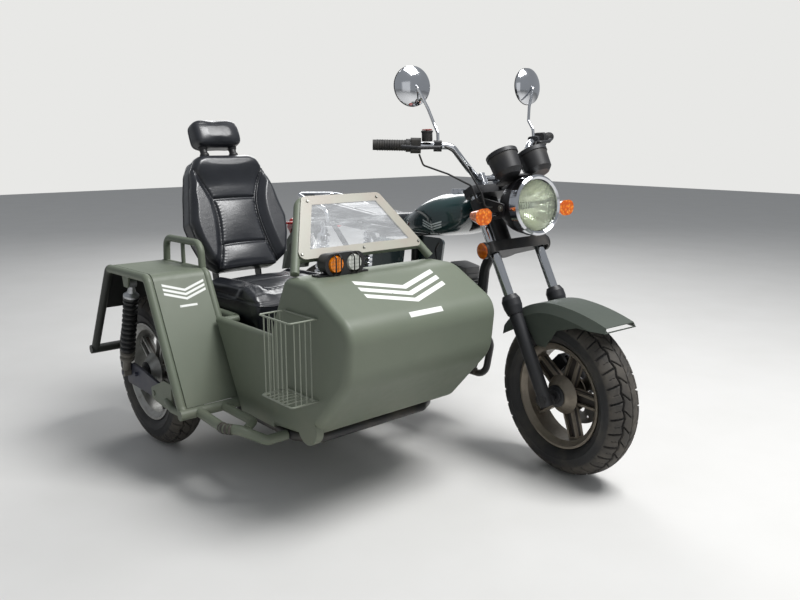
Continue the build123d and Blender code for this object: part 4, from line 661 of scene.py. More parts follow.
# %% [markdown]
# A dual-purpose tyre: shoulder blocks cut by cross grooves, a zigzag groove inside them, and long
# slanting grooves over the middle. The whole tyre is one section carried round the axle. Each
# groove is a distance on the unrolled tread, and its depth pushes the surface in.

# %% Tyres
PITCHES, GROOVE, AROUND = 32, 0.0065, 768
CROWN_HALF, SHOULDER_R, WIDEST_R, BEAD_R, BEAD_HALF = 0.05574, 0.24018, 0.215, 0.173, 0.040
CROWN_POINTS, WALL_POINTS = 57, 15


def arc(first, middle, last, count):
    """Points along the circle through three points: centre from the perpendicular bisectors."""
    a, b, c = (np.asarray(p, float) for p in (first, middle, last))
    m = 2 * np.array([b - a, c - a])
    centre = np.linalg.solve(m, [b @ b - a @ a, c @ c - a @ a])
    angle = [math.atan2(*(p - centre)[::-1]) for p in (a, b, c)]
    for k in (1, 2):
        while angle[k] - angle[k - 1] > math.pi:
            angle[k] -= 2 * math.pi
        while angle[k] - angle[k - 1] < -math.pi:
            angle[k] += 2 * math.pi
    t = np.linspace(angle[0], angle[2], count)
    return centre + np.linalg.norm(a - centre) * np.stack([np.cos(t), np.sin(t)], -1)


def soft_step(x, edge, soft):
    """0 well below the edge, 1 well above it, smooth between."""
    t = np.clip((x - edge) / soft + 0.5, 0, 1)
    return t * t * (3 - 2 * t)


def tread_depth(turn, across):
    """1 in a groove, 0 on a block; turn in pitches round the tyre, across -1..1 between shoulders."""
    side = np.where(across < 0, 0.5, 0.0)
    a = np.abs(across)
    outer = soft_step(a, 0.5, 0.05)
    zigzag = np.abs(((turn + side) % 1) * 2 - 1) - 0.5
    line = turn + side + 0.22 * (a - 0.5)
    shoulder = (1 - soft_step(np.abs(line % 1 - 0.5), 0.055, 0.05)) * outer
    ring = 1 - soft_step(np.abs(a - 0.50 - 0.10 * zigzag), 0.035, 0.04)
    slant_line = np.abs(((turn + side + 0.50 + 1.25 * (0.5 - a)) % 1) - 0.5)
    slant = (1 - soft_step(slant_line, 0.05, 0.05)) * (1 - outer) * soft_step(a, 0.07, 0.05)
    centre = 1 - soft_step(np.abs(across - 0.05 * zigzag), 0.022, 0.03)
    sipe = 0.4 * (1 - soft_step(np.abs((line + 0.5) % 1 - 0.5), 0.018, 0.03))
    sipe = sipe * soft_step(a, 0.66, 0.04) * (1 - soft_step(a, 0.92, 0.04))
    return np.clip(np.maximum.reduce([shoulder, ring, slant, centre * 0.7, sipe]), 0, 1)


def make_tyre(key):
    place, centre, width, body, hub = WHEELS[key]
    narrow, half = CROWN_HALF * width / WHEELS["front"][2], width / 2
    crown = arc((-narrow, SHOULDER_R), (0, WHEEL_R), (narrow, SHOULDER_R), CROWN_POINTS)
    wall = arc((narrow, SHOULDER_R), (half, WIDEST_R), (BEAD_HALF, BEAD_R), WALL_POINTS)[1:]
    foot = [(BEAD_HALF, 0.1604), (-BEAD_HALF, 0.1604)]
    section = np.concatenate([wall[::-1] * (-1, 1), crown, wall, foot])
    run = np.concatenate([[0], np.cumsum(np.linalg.norm(np.diff(section, axis=0), axis=1))])
    edge, middle = len(wall), len(wall) + CROWN_POINTS // 2
    across = (run - run[middle]) / (run[middle] - run[edge])
    across[-2:] = 9
    tangent = np.gradient(section, axis=0)
    inward = np.stack([tangent[:, 1], -tangent[:, 0]], -1)
    inward /= np.linalg.norm(inward, axis=1)[:, None]
    inward *= np.sign((inward * (-section + (0, WIDEST_R))).sum(1))[:, None]
    turn = np.arange(AROUND) / AROUND * PITCHES
    depth = tread_depth(turn[:, None], across[None])
    away = np.abs(across)[None]
    past = soft_step(away, 1.17 + 0.05 * np.sign(np.sin(turn * 2 * math.pi))[:, None], 0.05)
    lug = 0.0022 * past * (away < 1.6)
    count = len(section)
    ridge = 0.0009 * np.isin(np.arange(count), (4, 7, count - 7, count - 10))[None]
    push = depth * (1 - past) * GROOVE + lug - ridge
    push[:, -2:] = 0
    sideways, reach = np.moveaxis(section[None] + inward[None] * push[..., None], -1, 0)
    t = (turn / PITCHES * 2 * math.pi)[:, None]
    local = np.stack([reach * np.cos(t), sideways, reach * np.sin(t)], -1)
    made = piece(f"{key}_tyre_tread", place(local + centre), grid_faces(AROUND, count, True, True), body,
                 tyre_finish, sharp=38, replaces=(f"{key}_tyre",), slot="tyre")
    top = (1 - np.clip(depth * (1 - past), 0, 1)) * (away < 1.2)
    worn = made.data.attributes.new("worn", "FLOAT", "POINT")
    worn.data.foreach_set("value", top.reshape(-1).astype(np.float32))
    return made


tyre_finish = Finish("tread_rubber", Base_Color=linear(38, 38, 39))
top_share = tyre_finish.node("Attribute", {"attribute_name": "worn"}, output="Fac")
road = tyre_finish.noise(24.0, 6.0).ramp(0.32, 0.72)
soil = top_share * (road * 0.5 + 0.35)
wall_dust = tyre_finish.noise(6.0, 5.0, seed=3).ramp(0.45, 0.8) * 0.22
rubber_tone = tyre_finish.mix(soil, linear(32, 32, 33), linear(84, 79, 72))
tyre_finish.set(Base_Color=tyre_finish.mix(wall_dust, rubber_tone, DUST), Roughness=soil * 0.2 + 0.62)
tyre_finish.grain(520.0, 2.0, 0.0004, 0.5)
tyres = [make_tyre(key) for key in WHEELS]
print("tyres", [len(made.data.polygons) for made in tyres], "quads each")

# %% [markdown]
# What sits in the middle of the wheels: a turned cap with a stepped edge and a flared skirt on each
# side of the hub, and nuts on the disc. Cap and skirt are rings round the axle, so nothing rubs as
# the wheel turns. A valve stands on each rim.

# %% Hubs, nuts and valves
CAP = [(0.0095, 0.0), (0.036, 0.0), (0.036, 0.003), (0.030, 0.006), (0.024, 0.006), (0.022, 0.010),
       (0.0095, 0.010)]
FLARE = [(0.0362, 0.0), (0.062, -0.026), (0.064, -0.024), (0.0385, 0.002), (0.0362, 0.002)]
VALVE = [(0, 0), (0.0042, 0), (0.0042, 0.010), (0.003, 0.012), (0.003, 0.030), (0.004, 0.031),
         (0.004, 0.038), (0, 0.038)]
VALVE_TURN, VALVE_R, NUT_RING, NUT_Y = 0.3, 0.1478, 0.030, 0.0521
spoke = np.array((math.cos(VALVE_TURN), 0, math.sin(VALVE_TURN)))
for key, (place, centre, width, body, hub) in WHEELS.items():
    for part, section, inset, sides, wear in (("hub_caps", CAP, 0.0, 40, satin_black),
                                              ("hub_flares", FLARE, 0.003, 48, rim_finish[key])):
        rings = [lathe(section, np.array(centre) + (0, side * (hub + 0.0004 - inset), 0), (0, side, 0),
                       sides, place, True) for side in (-1, 1)]
        piece(f"{key}_{part}", *joined(rings), body, wear, sharp=35)
    foot = np.array(centre) - spoke * VALVE_R + (0, 0.004, 0)
    piece(f"{key}_valve", *lathe(VALVE, foot, spoke + (0, 0.25, 0), 10, place), body, grip_rubber, sharp=40)
spin = np.arange(5) / 5 * 2 * math.pi + VALVE_TURN
nut_places = np.stack([NUT_RING * np.cos(spin), np.full(5, NUT_Y), WHEEL_R + NUT_RING * np.sin(spin)], -1)
disc_nuts = bolts(nut_places, (0, 1, 0), 0.005, 0.004, 1.3, place=on_fork)
piece("disc_nuts", *disc_nuts, "front_wheel", zinc, sharp=30)
print("hubs ready")

# %% [markdown]
# The headlamp: a faceted bright bowl with a bulb and its cap behind a clear lens with faint upright
# ribs. The case keeps its CAD shape; its front ring is chrome and the bucket behind is black.

# %% Headlamp
LAMP, LAMP_TILT = np.array((-0.140, 0, 0.859)), math.radians(6)
LAMP_WAY = np.array((math.cos(LAMP_TILT), 0, math.sin(LAMP_TILT)))
LENS_R, BOWL_R = 0.0826, 0.0815
case = Finish("lamp_case")
behind = case.along(on_fork(LAMP), way(on_fork, LAMP_WAY)).ramp(-0.0365, -0.0355)
case_cloud = case.noise(12.0, 4.0).ramp(0.3, 0.7)
bright = case.mix(case_cloud * 0.3, linear(214, 216, 220), linear(170, 172, 178))
case.set(Base_Color=case.mix(behind, linear(26, 26, 28), bright), Metallic=behind,
         Roughness=case_cloud * 0.06 + 0.36 - behind * 0.29)
dress("headlamp", case)

bowl_finish = metal("lamp_bowl", linear(226, 228, 220), 0.10, dust=0.0)
bulb_finish = Finish("bulb_glass", Roughness=0.08, Coat_Weight=0.6)
bulb_tone = bulb_finish.mix(bulb_finish.noise(60.0), linear(235, 238, 232), linear(200, 206, 206))
bulb_finish.set(Base_Color=bulb_tone)
lens_glass = Finish("lamp_glass", Transmission_Weight=1.0, Roughness=0.0, IOR=1.45,
                    Base_Color=linear(238, 242, 232))
ribs = (lens_glass.along(on_fork(LAMP), way(on_fork, (0, 1, 0))) * 900.0).sin()
glass_tone = lens_glass.mix(lens_glass.noise(20.0), linear(236, 242, 228), linear(250, 252, 246))
lens_glass.set(Base_Color=glass_tone, Normal=lens_glass.bump(ribs, 0.0006, 0.35))


def thick(front, depth, grow=0.0):
    """A thin wall's section: its front line, then the same line further back, the other way."""
    return front + [(r + grow, along - depth) for r, along in front[::-1]]


bowl = [(BOWL_R * (0.16 + 0.84 * math.sqrt(d)), -0.085 + 0.070 * d) for d in np.linspace(0.0, 1.0, 9)]
on_fork_lathe("lamp_bowl", bowl_finish, thick(bowl, 0.002, 0.0015), LAMP, LAMP_WAY, 26, True, smooth=False)
bulb = [(0, -0.086), (0.010, -0.086), (0.010, -0.055), (0.0062, -0.052), (0.0062, -0.034),
        (0.004, -0.030), (0, -0.029)]
on_fork_lathe("lamp_bulb", bulb_finish, bulb, LAMP, LAMP_WAY, 16, sharp=40)
shield = [(0, -0.030), (0.009, -0.031), (0.011, -0.036), (0.0115, -0.044), (0.0125, -0.044),
          (0.012, -0.034), (0.0095, -0.028), (0, -0.0265)]
on_fork_lathe("lamp_bulb_cap", chrome, shield, LAMP, LAMP_WAY, 20, sharp=40)
front = [(r, 0.0075 - 0.013 * (r / LENS_R) ** 2) for r in np.linspace(0, LENS_R, 14)]
on_fork_lathe("lamp_lens", lens_glass, thick(front, 0.003), LAMP, LAMP_WAY, 48, merge=1e-6, sharp=50,
              replaces=("headlamp_glass",), slot="clear")
ring_foot = LAMP + LAMP_WAY * -0.012 + np.array([0, 0, -0.0965])
ring_screw = bolts([ring_foot], (0, 0, -1), 0.004, 0.004, 1.5, place=on_fork)
piece("lamp_ring_screw", *ring_screw, "fork", zinc, sharp=30)
pivots = [bolts([(-0.206, side * 0.1041, 0.852)], (0, side, 0), 0.007, 0.006, 1.6, place=on_fork)
          for side in (-1, 1)]
piece("lamp_pivot_bolts", *joined(pivots), "fork", zinc, sharp=30)
print("headlamp ready")

# %% [markdown]
# Two instruments: dark dials with a ring of pale ticks, each angle round the dial found with an
# arctangent, a needle on a boss, and a thin glass. Their cups are CAD.

# %% Instruments
TILT, DIAL_R, GLASS_R = math.radians(32), 0.0435, 0.0458
GAUGE_AT, CUP_TALL = np.array((-0.228, 0.064, 0.985)), 0.040
GAUGE_WAY = np.array((-math.sin(TILT), 0, math.cos(TILT)))
GAUGE_UP = np.array((math.cos(TILT), 0, math.sin(TILT)))
DIAL = [(0, -0.0058), (DIAL_R, -0.0058), (DIAL_R, -0.0050), (0, -0.0050)]
BOSS = [(0, -0.005), (0.005, -0.005), (0.004, -0.002), (0, -0.0015)]
BEZEL = [(0.0452, -0.001), (0.0522, -0.012), (0.0530, -0.011), (0.0530, 0.0008), (0.0515, 0.0022),
         (0.0462, 0.0022), (0.0452, 0.001)]
GLASS = thick([(r, 0.0004 + 0.0022 * (1 - (r / GLASS_R) ** 2)) for r in np.linspace(0, GLASS_R, 9)], 0.0012)


def ticks_at(angle, reach, count, narrow, middle, long):
    """Marks round the dial: each count-th part of a turn, within a band of the radius."""
    across = abs((angle * (count / (2 * math.pi))).fract() - 0.5).ramp(*narrow)
    return across * abs(reach - middle).ramp(*long)


for side, label in SIDES:
    top = GAUGE_AT * (1, side, 1) + GAUGE_WAY * CUP_TALL
    dial = Finish(f"dial_{label}", Roughness=0.5)
    u = dial.along(on_fork(top), way(on_fork, (0, 1, 0)))
    v = dial.along(on_fork(top), way(on_fork, GAUGE_UP))
    angle = dial.node("Math", {"operation": "ARCTAN2"}, {0: u, 1: v})
    reach = (u * u + v * v) ** 0.5
    fine = ticks_at(angle, reach, 60, (0.40, 0.44), 0.0375, (0.0022, 0.0016))
    coarse = ticks_at(angle, reach, 12, (0.44, 0.46), 0.034, (0.0050, 0.0044))
    open_part = v.ramp(0.030, 0.027)
    band = abs(reach - 0.0405).ramp(0.0011, 0.0007) * u.ramp(0.012, 0.016) * open_part
    face = dial.mix(dial.noise(60.0) * 0.4, linear(20, 21, 24), linear(34, 35, 38))
    ticked = dial.mix(fine.most(coarse) * open_part, face, linear(226, 226, 214))
    dial.set(Base_Color=dial.mix(band, ticked, linear(190, 40, 24)))
    on_fork_lathe(f"dial_face_{label}", dial, DIAL, top, GAUGE_WAY, 48, merge=1e-6, sharp=40)
    tip = GAUGE_UP * -0.020 + (0, side * 0.024, 0)
    needle = top + GAUGE_WAY * -0.0035 + tip * np.linspace(-0.25, 1.0, 8)[:, None]
    piece(f"needle_{label}", *pipe(needle, np.linspace(0.0016, 0.0005, 8), 6, on_fork), "fork", amber_lens)
    on_fork_lathe(f"needle_boss_{label}", black_plastic, BOSS, top, GAUGE_WAY, 16, sharp=40)
    on_fork_lathe(f"dial_glass_{label}", lens_glass, GLASS, top, GAUGE_WAY, 40, merge=1e-6, sharp=50)
    on_fork_lathe(f"dial_ring_{label}", satin_black, BEZEL, top, GAUGE_WAY, 48, True, sharp=35)
print("instruments ready")

# %% [markdown]
# The mirrors' domed backs are CAD chrome. A slightly crowned glass lies in the rim of each, with a
# thin black gasket round it.

# %% Mirror glass
MIRROR_R, MIRROR_AT = 0.0595, np.array((-0.469, 0.253, 1.243))
MIRROR = [(r, 0.0102 - 0.0010 * (r / MIRROR_R) ** 2) for r in np.linspace(0, MIRROR_R, 6)]
MIRROR += [(MIRROR_R, 0.0088), (0, 0.0088)]
GASKET = [(0.0590, 0.0086), (0.0650, 0.0070), (0.0655, 0.0086), (0.0640, 0.0106), (0.0596, 0.0110)]
for side, label in SIDES:
    middle, facing = MIRROR_AT * (1, side, 1), (-1, -0.12 * side, -0.06)
    on_fork_lathe(f"mirror_glass_{label}", mirror_glass, MIRROR, middle, facing, 48, merge=1e-6, sharp=50)
    on_fork_lathe(f"mirror_gasket_{label}", grip_rubber, GASKET, middle, facing, 48, True, sharp=35)
print("mirrors ready")

# %% [markdown]
# Cushions. Each starts a little smaller than the space it fills, is remeshed evenly and blown up
# like a stuffed cover: Cloth with pressure and no gravity, every point held within 6 to 10
# millimetres of its start. Seams are pressed in after that, in the cushion's own axes.

# %% The cushion helpers


def axes_of(place, origin, across, up):
    """A cushion's own frame: its origin, and across, up and out as the rows of a matrix."""
    across, up = way(place, across), way(place, up)
    across, up = across / np.linalg.norm(across), up / np.linalg.norm(up)
    return place(np.asarray(origin, float)), np.stack([across, up, np.cross(across, up)])


def mesh_arrays(mesh):
    points = np.empty(len(mesh.vertices) * 3)
    corners = np.empty(len(mesh.loops), int)
    mesh.vertices.foreach_get("co", points)
    mesh.loops.foreach_get("vertex_index", corners)
    return points.reshape(-1, 3), corners


def evaluated(thing):
    return bpy.data.meshes.new_from_object(thing.evaluated_get(bpy.context.evaluated_depsgraph_get()))


def node_shape(name):
    """A CAD solid's points and triangles, its loose corners merged in a copy."""
    work = bmesh.new()
    work.from_mesh(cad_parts[name].data)
    bmesh.ops.remove_doubles(work, verts=work.verts, dist=1e-6)
    copy = bpy.data.meshes.new(name + "_copy")
    work.to_mesh(copy)
    work.free()
    points, corners = mesh_arrays(copy)
    return points, corners.reshape(-1, 3)


SHRINK, SMOOTHINGS, PRESSURE, MOMENTS = 0.7, 24, 4.0, 20


def blown(name, points, faces, axes, cap, voxel):
    """The shape in its own axes, remeshed, blown up and divided once: points and quads.

    The cloth's moves are averaged with their neighbours', so the cover is taut and doesn't crease.
    """
    origin, rows = axes
    own = (points - origin) @ rows.T
    low, high = own.min(0), own.max(0)
    size = high - low
    own = (low + high) / 2 + (own - (low + high) / 2) * (1 - SHRINK * cap / np.maximum(size, 3 * cap))
    cover_mesh = bpy.data.meshes.new(name + "_cover")
    cover_mesh.from_pydata(own.tolist(), [], faces.tolist())
    cover = bpy.data.objects.new(name + "_cover", cover_mesh)
    scene.collection.objects.link(cover)
    even = cover.modifiers.new("even", "REMESH")
    even.mode, even.voxel_size = "VOXEL", voxel
    cover.data = evaluated(cover)
    cover.modifiers.clear()
    start, corners = mesh_arrays(cover.data)
    swell = cover.modifiers.new("swell", "CLOTH")
    swell.settings.use_pressure = True
    swell.settings.uniform_pressure_force = PRESSURE
    swell.settings.effector_weights.gravity = 0.0
    swell.point_cache.frame_start, swell.point_cache.frame_end = 1, MOMENTS
    for moment in range(1, MOMENTS + 1):
        scene.frame_set(moment)
    end, corners = mesh_arrays(evaluated(cover))
    cover.modifiers.clear()
    move = end - start
    ends = np.empty(len(cover.data.edges) * 2, int)
    cover.data.edges.foreach_get("vertices", ends)
    one, two = ends.reshape(-1, 2).T
    count = np.bincount(ends, minlength=len(move))[:, None]
    for turn in range(SMOOTHINGS):
        near = np.zeros_like(move)
        np.add.at(near, one, move[two])
        np.add.at(near, two, move[one])
        move = near / count
    reach = np.linalg.norm(move, axis=1)[:, None]
    start = start + move * np.minimum(1.0, cap / np.maximum(reach, 1e-9))
    scene.frame_set(1)
    cover.data.vertices.foreach_set("co", np.clip(start, low, high).reshape(-1))
    divide = cover.modifiers.new("divide", "SUBSURF")
    divide.levels = divide.render_levels = 1
    smooth, corners = mesh_arrays(evaluated(cover))
    bpy.data.objects.remove(cover)
    return smooth, corners.reshape(-1, 4)


def groove(distance, width):
    """A rounded trough: exp of minus the squared distance over its width."""
    return np.exp(-(distance / width) ** 2)


def dome(x, middle, reach):
    """A rounded hill: 1 at its middle, falling as a parabola to 0 at its reach."""
    return np.clip(1 - ((x - middle) / reach) ** 2, 0, 1)


def out_of(axes):
    """The place function of a cushion's own axes."""
    origin, rows = axes
    return lambda points: points @ rows + origin


def cushion(name, own, faces, axes, node):
    made = piece(name, out_of(axes)(own), faces, "chassis", seat_leather, replaces=(node,),
                 slot="black_leather")


def over_surface(own, faces, path, toward, lift):
    """Drops each point of a path along a direction on to the cushion, in its own axes."""
    tree = BVHTree.FromPolygons(own.tolist(), faces.tolist())
    toward = np.asarray(toward, float)
    hits = [tree.ray_cast(Vector(at - toward * 0.2), Vector(toward))[0] for at in path]
    return np.array([hit for hit in hits if hit is not None]) - toward * lift


print("cushion helpers ready")

# %% [markdown]
# The passenger's back rest: two bolsters stand forward of a middle panel, which two seams across
# divide in three. The bolster seams start near the top corners, come in, and flare out below.

# %% Back rest
BACK = axes_of(on_side, (-1.010, -0.530, 0.606), (0, 1, 0), (-0.1778, 0, 0.4188))
SEAM = smooth_path([(0.004, 0.126), (0.030, 0.116), (0.070, 0.102), (0.107, 0.094), (0.160, 0.085),
                    (0.220, 0.081), (0.275, 0.088), (0.335, 0.112), (0.381, 0.136), (0.400, 0.143)], 90)
RIM = np.array([(-0.112, 0.440), (-0.152, 0.400), (-0.184, 0.305), (-0.208, 0.190), (-0.192, 0.116),
                (-0.158, 0.034)])
RIM_DEPTHS, CORD_R, SEAM_IN, SEAM_W = (-0.030, -0.088), 0.0021, 0.0075, 0.0050
# The three rolls between the bolsters: how far each stands out, how square, its middle, its reach.
ROLLS = ((0.011, 1.0, 0.052, 0.060), (0.008, 0.6, 0.191, 0.092), (0.009, 0.6, 0.356, 0.086))
back, back_faces = blown("seat_back", *node_shape("seat_back"), BACK, 0.010, 0.006)
a, h, d = back.T
half = np.interp(h, SEAM[:, 0], SEAM[:, 1])
out = np.abs(a) - half
zone = soft_step(h, 0.012, 0.05) * (1 - soft_step(h, 0.370, 0.10))
push = -0.026 * (1 - soft_step(out, 0.014, 0.045)) * zone
across_panel = dome(a, 0, np.maximum(half, 0.02))
for rise, power, middle, reach in ROLLS:
    push += rise * across_panel ** power * dome(h, middle, reach) ** 0.7
push += 0.007 * groove(out - 0.062, 0.040) * zone
upper_line, lower_line = 0.277 - 0.10 * a * a, 0.106 - 0.35 * a * a
seams = np.maximum(groove(h - upper_line, SEAM_W), groove(h - lower_line, SEAM_W)) * (out < 0.004)
bolster_seam = groove(out, SEAM_W) * soft_step(h, 0.012, 0.02) * (1 - soft_step(h, 0.386, 0.02))
seams = np.maximum(seams, bolster_seam)
pucker = 0.0005 * np.sin(h * 520 + 3 * np.sin(a * 60)) * groove(out, 0.014)
front = soft_step(d, -0.050, 0.050)
back[:, 2] = np.minimum(d + front * (push - SEAM_IN * seams + pucker), 0.004)
side_line = groove(back[:, 2] + 0.034, 0.0035) * soft_step(np.abs(a), half + 0.02, 0.02)
back[:, 0] -= np.sign(a) * 0.0022 * side_line
cushion("seat_back_pad", back, back_faces, BACK, "seat_back")

runs = []
for side in (-1, 1):
    bolster = np.stack([side * (SEAM[:, 1] + 0.0048), SEAM[:, 0], np.full(len(SEAM), 0.05)], -1)
    runs.append((bolster[6:-4:2], (0, 0, -1), -0.0004))
for side in (-1, 1):
    for depth in RIM_DEPTHS:
        edge = np.stack([RIM[:, 0] * side, RIM[:, 1], np.full(len(RIM), depth)], -1)
        runs.append((smooth_path(edge, 44), (-side, 0, 0), -0.0003))
    crest = [np.linspace(-0.100, 0.100, 30), np.full(30, 0.50), np.full(30, RIM_DEPTHS[side > 0])]
    runs.append((np.stack(crest, -1), (0, -1, 0), -0.0003))
cords = [pipe(over_surface(back, back_faces, *run), CORD_R, 8, out_of(BACK)) for run in runs]
piece("seat_back_piping", *joined(cords), "chassis", seat_leather, slot="black_leather")
print("back rest", len(back_faces), "quads")

# %% [markdown]
# The head rest is a rounded block on two posts that go through sleeves in the back rest's top.

# %% Head rest


def rounded_block(size, power, rows=28, columns=56):
    """Superellipsoid: signed powers of sines and cosines, scaled by half the size."""
    v = np.linspace(-math.pi / 2, math.pi / 2, rows)[:, None]
    u = (np.arange(columns) / columns * 2 * math.pi)[None]

    def bent(value):
        return np.sign(value) * np.abs(value) ** power
    ring = bent(np.cos(v))
    points = np.stack([ring * bent(np.cos(u)), ring * bent(np.sin(u)), bent(np.sin(v)) + 0 * u], -1)
    return (points * np.asarray(size) / 2).reshape(-1, 3), grid_faces(rows, columns, wrap_columns=True)


BACK_LEN, HEAD_D = 0.455, -0.056
HEAD_MID = (0.0, BACK_LEN + 0.081, HEAD_D)
POST = [(0, 0), (0.0055, 0), (0.0055, 0.056), (0, 0.056)]
SLEEVE = [(0, 0.008), (0.016, 0.008), (0.0175, 0.013), (0.0165, 0.018), (0.0135, 0.021),
          (0.0135, 0.032), (0.0165, 0.036), (0.0175, 0.044), (0, 0.044)]
block, block_faces = rounded_block((0.192, 0.110, 0.092), 0.42)
head, head_faces = blown("headrest", out_of(BACK)(block + HEAD_MID), block_faces, BACK, 0.006, 0.004)
a, h, d = (head - HEAD_MID).T
ring_seam = groove(d + 0.016, 0.0032)
head[:, :2] -= (head - HEAD_MID)[:, :2] * (0.030 * ring_seam)[:, None]
head[:, 2] -= 0.006 * np.clip((h + 0.02) / 0.05, 0, 1) ** 2 * soft_step(d, 0.01, 0.02)
cushion("headrest_pad", head, head_faces, BACK, "headrest")
for name, profile, sides, wear in (("headrest_posts", POST, 20, chrome),
                                   ("headrest_sleeves", SLEEVE, 28, black_plastic)):
    pair = [lathe(profile, (side * 0.060, BACK_LEN - 0.012, HEAD_D), (0, 1, 0), sides, out_of(BACK))
            for side in (-1, 1)]
    piece(name, *joined(pair), "chassis", wear, sharp=35)
print("head rest", len(head_faces), "quads")

# %% [markdown]
# The seat cushion: its sides pull in between the corners, two rolls lie along its sides, and its
# front edge drops. Two seams cross it, and a piped seam runs round it. It lies flat on its box.

# %% Seat cushion
SEAT = axes_of(on_side, (-0.8805, -0.530, 0.4323), (1, 0, 0), (0, 1, 0))
ROLL_Y, PIPING_Z, SQUARE = 0.128, 0.112, 0.35
seat, seat_faces = blown("seat_cushion", *node_shape("seat_cushion"), SEAT, 0.010, 0.0065)
x, y, z = seat.T
top = soft_step(z, 0.10, 0.06)
middle = 1 - soft_step(np.abs(y), 0.125, 0.05)
push = -0.014 * middle * soft_step(x, -0.19, 0.06) * (1 - soft_step(x, 0.185, 0.07))
push += 0.006 * dome(y, 0, 0.12) * (dome(x, 0.06, 0.075) + dome(x, -0.09, 0.072))
lines = np.maximum(groove(x - 0.137 - 0.2 * y * y, SEAM_W), groove(x + 0.016, SEAM_W)) * (np.abs(y) < ROLL_Y)
lines = np.maximum(lines, groove(np.abs(y) - ROLL_Y, SEAM_W) * (x < 0.150))
pucker = 0.0003 * np.sin(y * 330 + 2 * np.sin(x * 40)) * groove(x - 0.14, 0.03)
seat[:, 2] = z + top * (push - SEAM_IN * lines + pucker)
seat[:, 1] -= np.sign(y) * 0.006 * dome(x, 0, 0.2) * soft_step(np.abs(y), 0.15, 0.06)
seat[:, 0] -= np.sign(x) * 0.006 * dome(y, 0, 0.18) * soft_step(np.abs(x), 0.17, 0.06)
outer = np.maximum(np.abs(x) / 0.2235, np.abs(y) / 0.2)
round_seam = groove(z - 0.118, 0.0040) * soft_step(outer, 0.9, 0.1)
seat[:, 0] -= np.sign(x) * 0.003 * round_seam
seat[:, 1] -= np.sign(y) * 0.003 * round_seam
seat[:, 2] = np.maximum(seat[:, 2], 0.0)
cushion("seat_cushion_pad", seat, seat_faces, SEAT, "seat_cushion")
spin = np.linspace(0, 2 * math.pi, 121)
along, across = (size * np.sign(wave) * np.abs(wave) ** SQUARE for size, wave in (
    (0.234, np.cos(spin)), (0.216, np.sin(spin))))
tree = BVHTree.FromPolygons(seat.tolist(), seat_faces.tolist())
outline = np.stack([along, across, np.full(len(spin), PIPING_Z)], -1)
round_path = np.array([tree.find_nearest(Vector(at))[0] for at in outline])
round_cord = pipe(round_path, 0.0023, 8, out_of(SEAT))
piece("seat_cushion_piping", *round_cord, "chassis", seat_leather, slot="black_leather")
print("seat cushion", len(seat_faces), "quads")

# %% [markdown]
# The rider's bench: a long pad with a stitched cover, ribbed across its back half.

# %% Rider's bench
BENCH = axes_of(on_bike, (-1.063, 0, 0.752), (1, 0, 0), (0, 1, 0))
RIB_STEP, RIBS_HALF = 0.034, 0.078
bench, bench_faces = blown("rider_seat", *node_shape("rider_seat"), BENCH, 0.007, 0.0065)
x, y, z = bench.T
ribs = np.abs(np.sin((x + 0.05) * math.pi / RIB_STEP)) ** 0.5 - 1
push = 0.0035 * ribs * (x < -0.05) * (x > -0.25) * (np.abs(y) < RIBS_HALF)
push -= 0.006 * np.maximum(groove(np.abs(y) - 0.080, 0.004), groove(x - 0.02, 0.004) * (np.abs(y) < 0.082))
bench[:, 2] = z + soft_step(z, 0.020, 0.02) * push
bench[:, 1] -= np.sign(y) * 0.0035 * groove(z - 0.012, 0.0035) * soft_step(np.abs(y), 0.09, 0.02)
cushion("rider_bench_pad", bench, bench_faces, BENCH, "rider_seat")
print("bench", len(bench_faces), "quads")

# %% [markdown]
# The windscreen is one sheet of scuffed clear plastic with a cream painted border. The border is
# where the distance to the nearest edge, in the sheet's own axes, is under 28 mm. Five bolts with
# washers hold it: two at the top corners and three along the foot.

# %% Windscreen
FOOT, TOP = np.array((-0.352, -0.535, 0.698)), np.array((-0.477, -0.541, 0.886))
SLANT = (TOP - FOOT) * (1, 0, 1) / np.linalg.norm((TOP - FOOT) * (1, 0, 1))
PANE_OUT = np.array((SLANT[2], 0, -SLANT[0]))
PANE_LOW, PANE_HIGH, PANE_HALF, BORDER = 0.035, 0.2315, 0.246, 0.028
pane = Finish("pane_border", Roughness=0.34)
up, width = pane.along(on_side(FOOT), SLANT), pane.along(on_side(FOOT), (0, 1, 0))
sides = ((width + PANE_HALF) - up * 0.452).least((PANE_HALF - width) - up * 0.505)
nearest = (up - PANE_LOW).least(PANE_HIGH - up).least(sides)
wobble = (pane.noise(60.0, 3.0) - 0.5) * 0.004
border = (nearest + wobble).ramp(BORDER + 0.001, BORDER - 0.001)
blush = pane.noise(9.0, 4.0, seed=2).ramp(0.35, 0.7)
pane.set(Base_Color=pane.mix(blush * 0.5, linear(158, 156, 144), linear(156, 142, 132)))
pane.grain(300.0, 2.0, 0.0003, 0.3)
scuffs = pane.noise(55.0, 7.0, 0.75, stretch=(1.0, 0.15, 1.0), seed=7).ramp(0.45, 0.80)
clear = pane.node("BsdfPrincipled", sockets={
    "Base Color": (0.93, 0.95, 0.97, 1), "Roughness": scuffs * 0.10 + 0.03, "Alpha": scuffs * 0.22 + 0.16})
mixed = pane.node("MixShader", sockets={0: border, 1: clear, 2: Wire(pane, pane.shader.outputs[0])})
pane.put(pane.out.inputs["Surface"], mixed)
dress("windscreen_pane", pane)

pane_face = FOOT * (1, 0, 1) + PANE_OUT * 0.0156
spots = [(0.216, -0.672), (0.216, -0.411), (0.050, -0.757), (0.050, -0.535), (0.050, -0.316)]
spots = [pane_face + SLANT * rise + (0, y, 0) for rise, y in spots]
piece("pane_bolts", *bolts(spots, PANE_OUT, 0.0045, 0.0045, 1.7, 8, on_side), "chassis", zinc, sharp=30)
print("windscreen with", len(spots), "bolts")

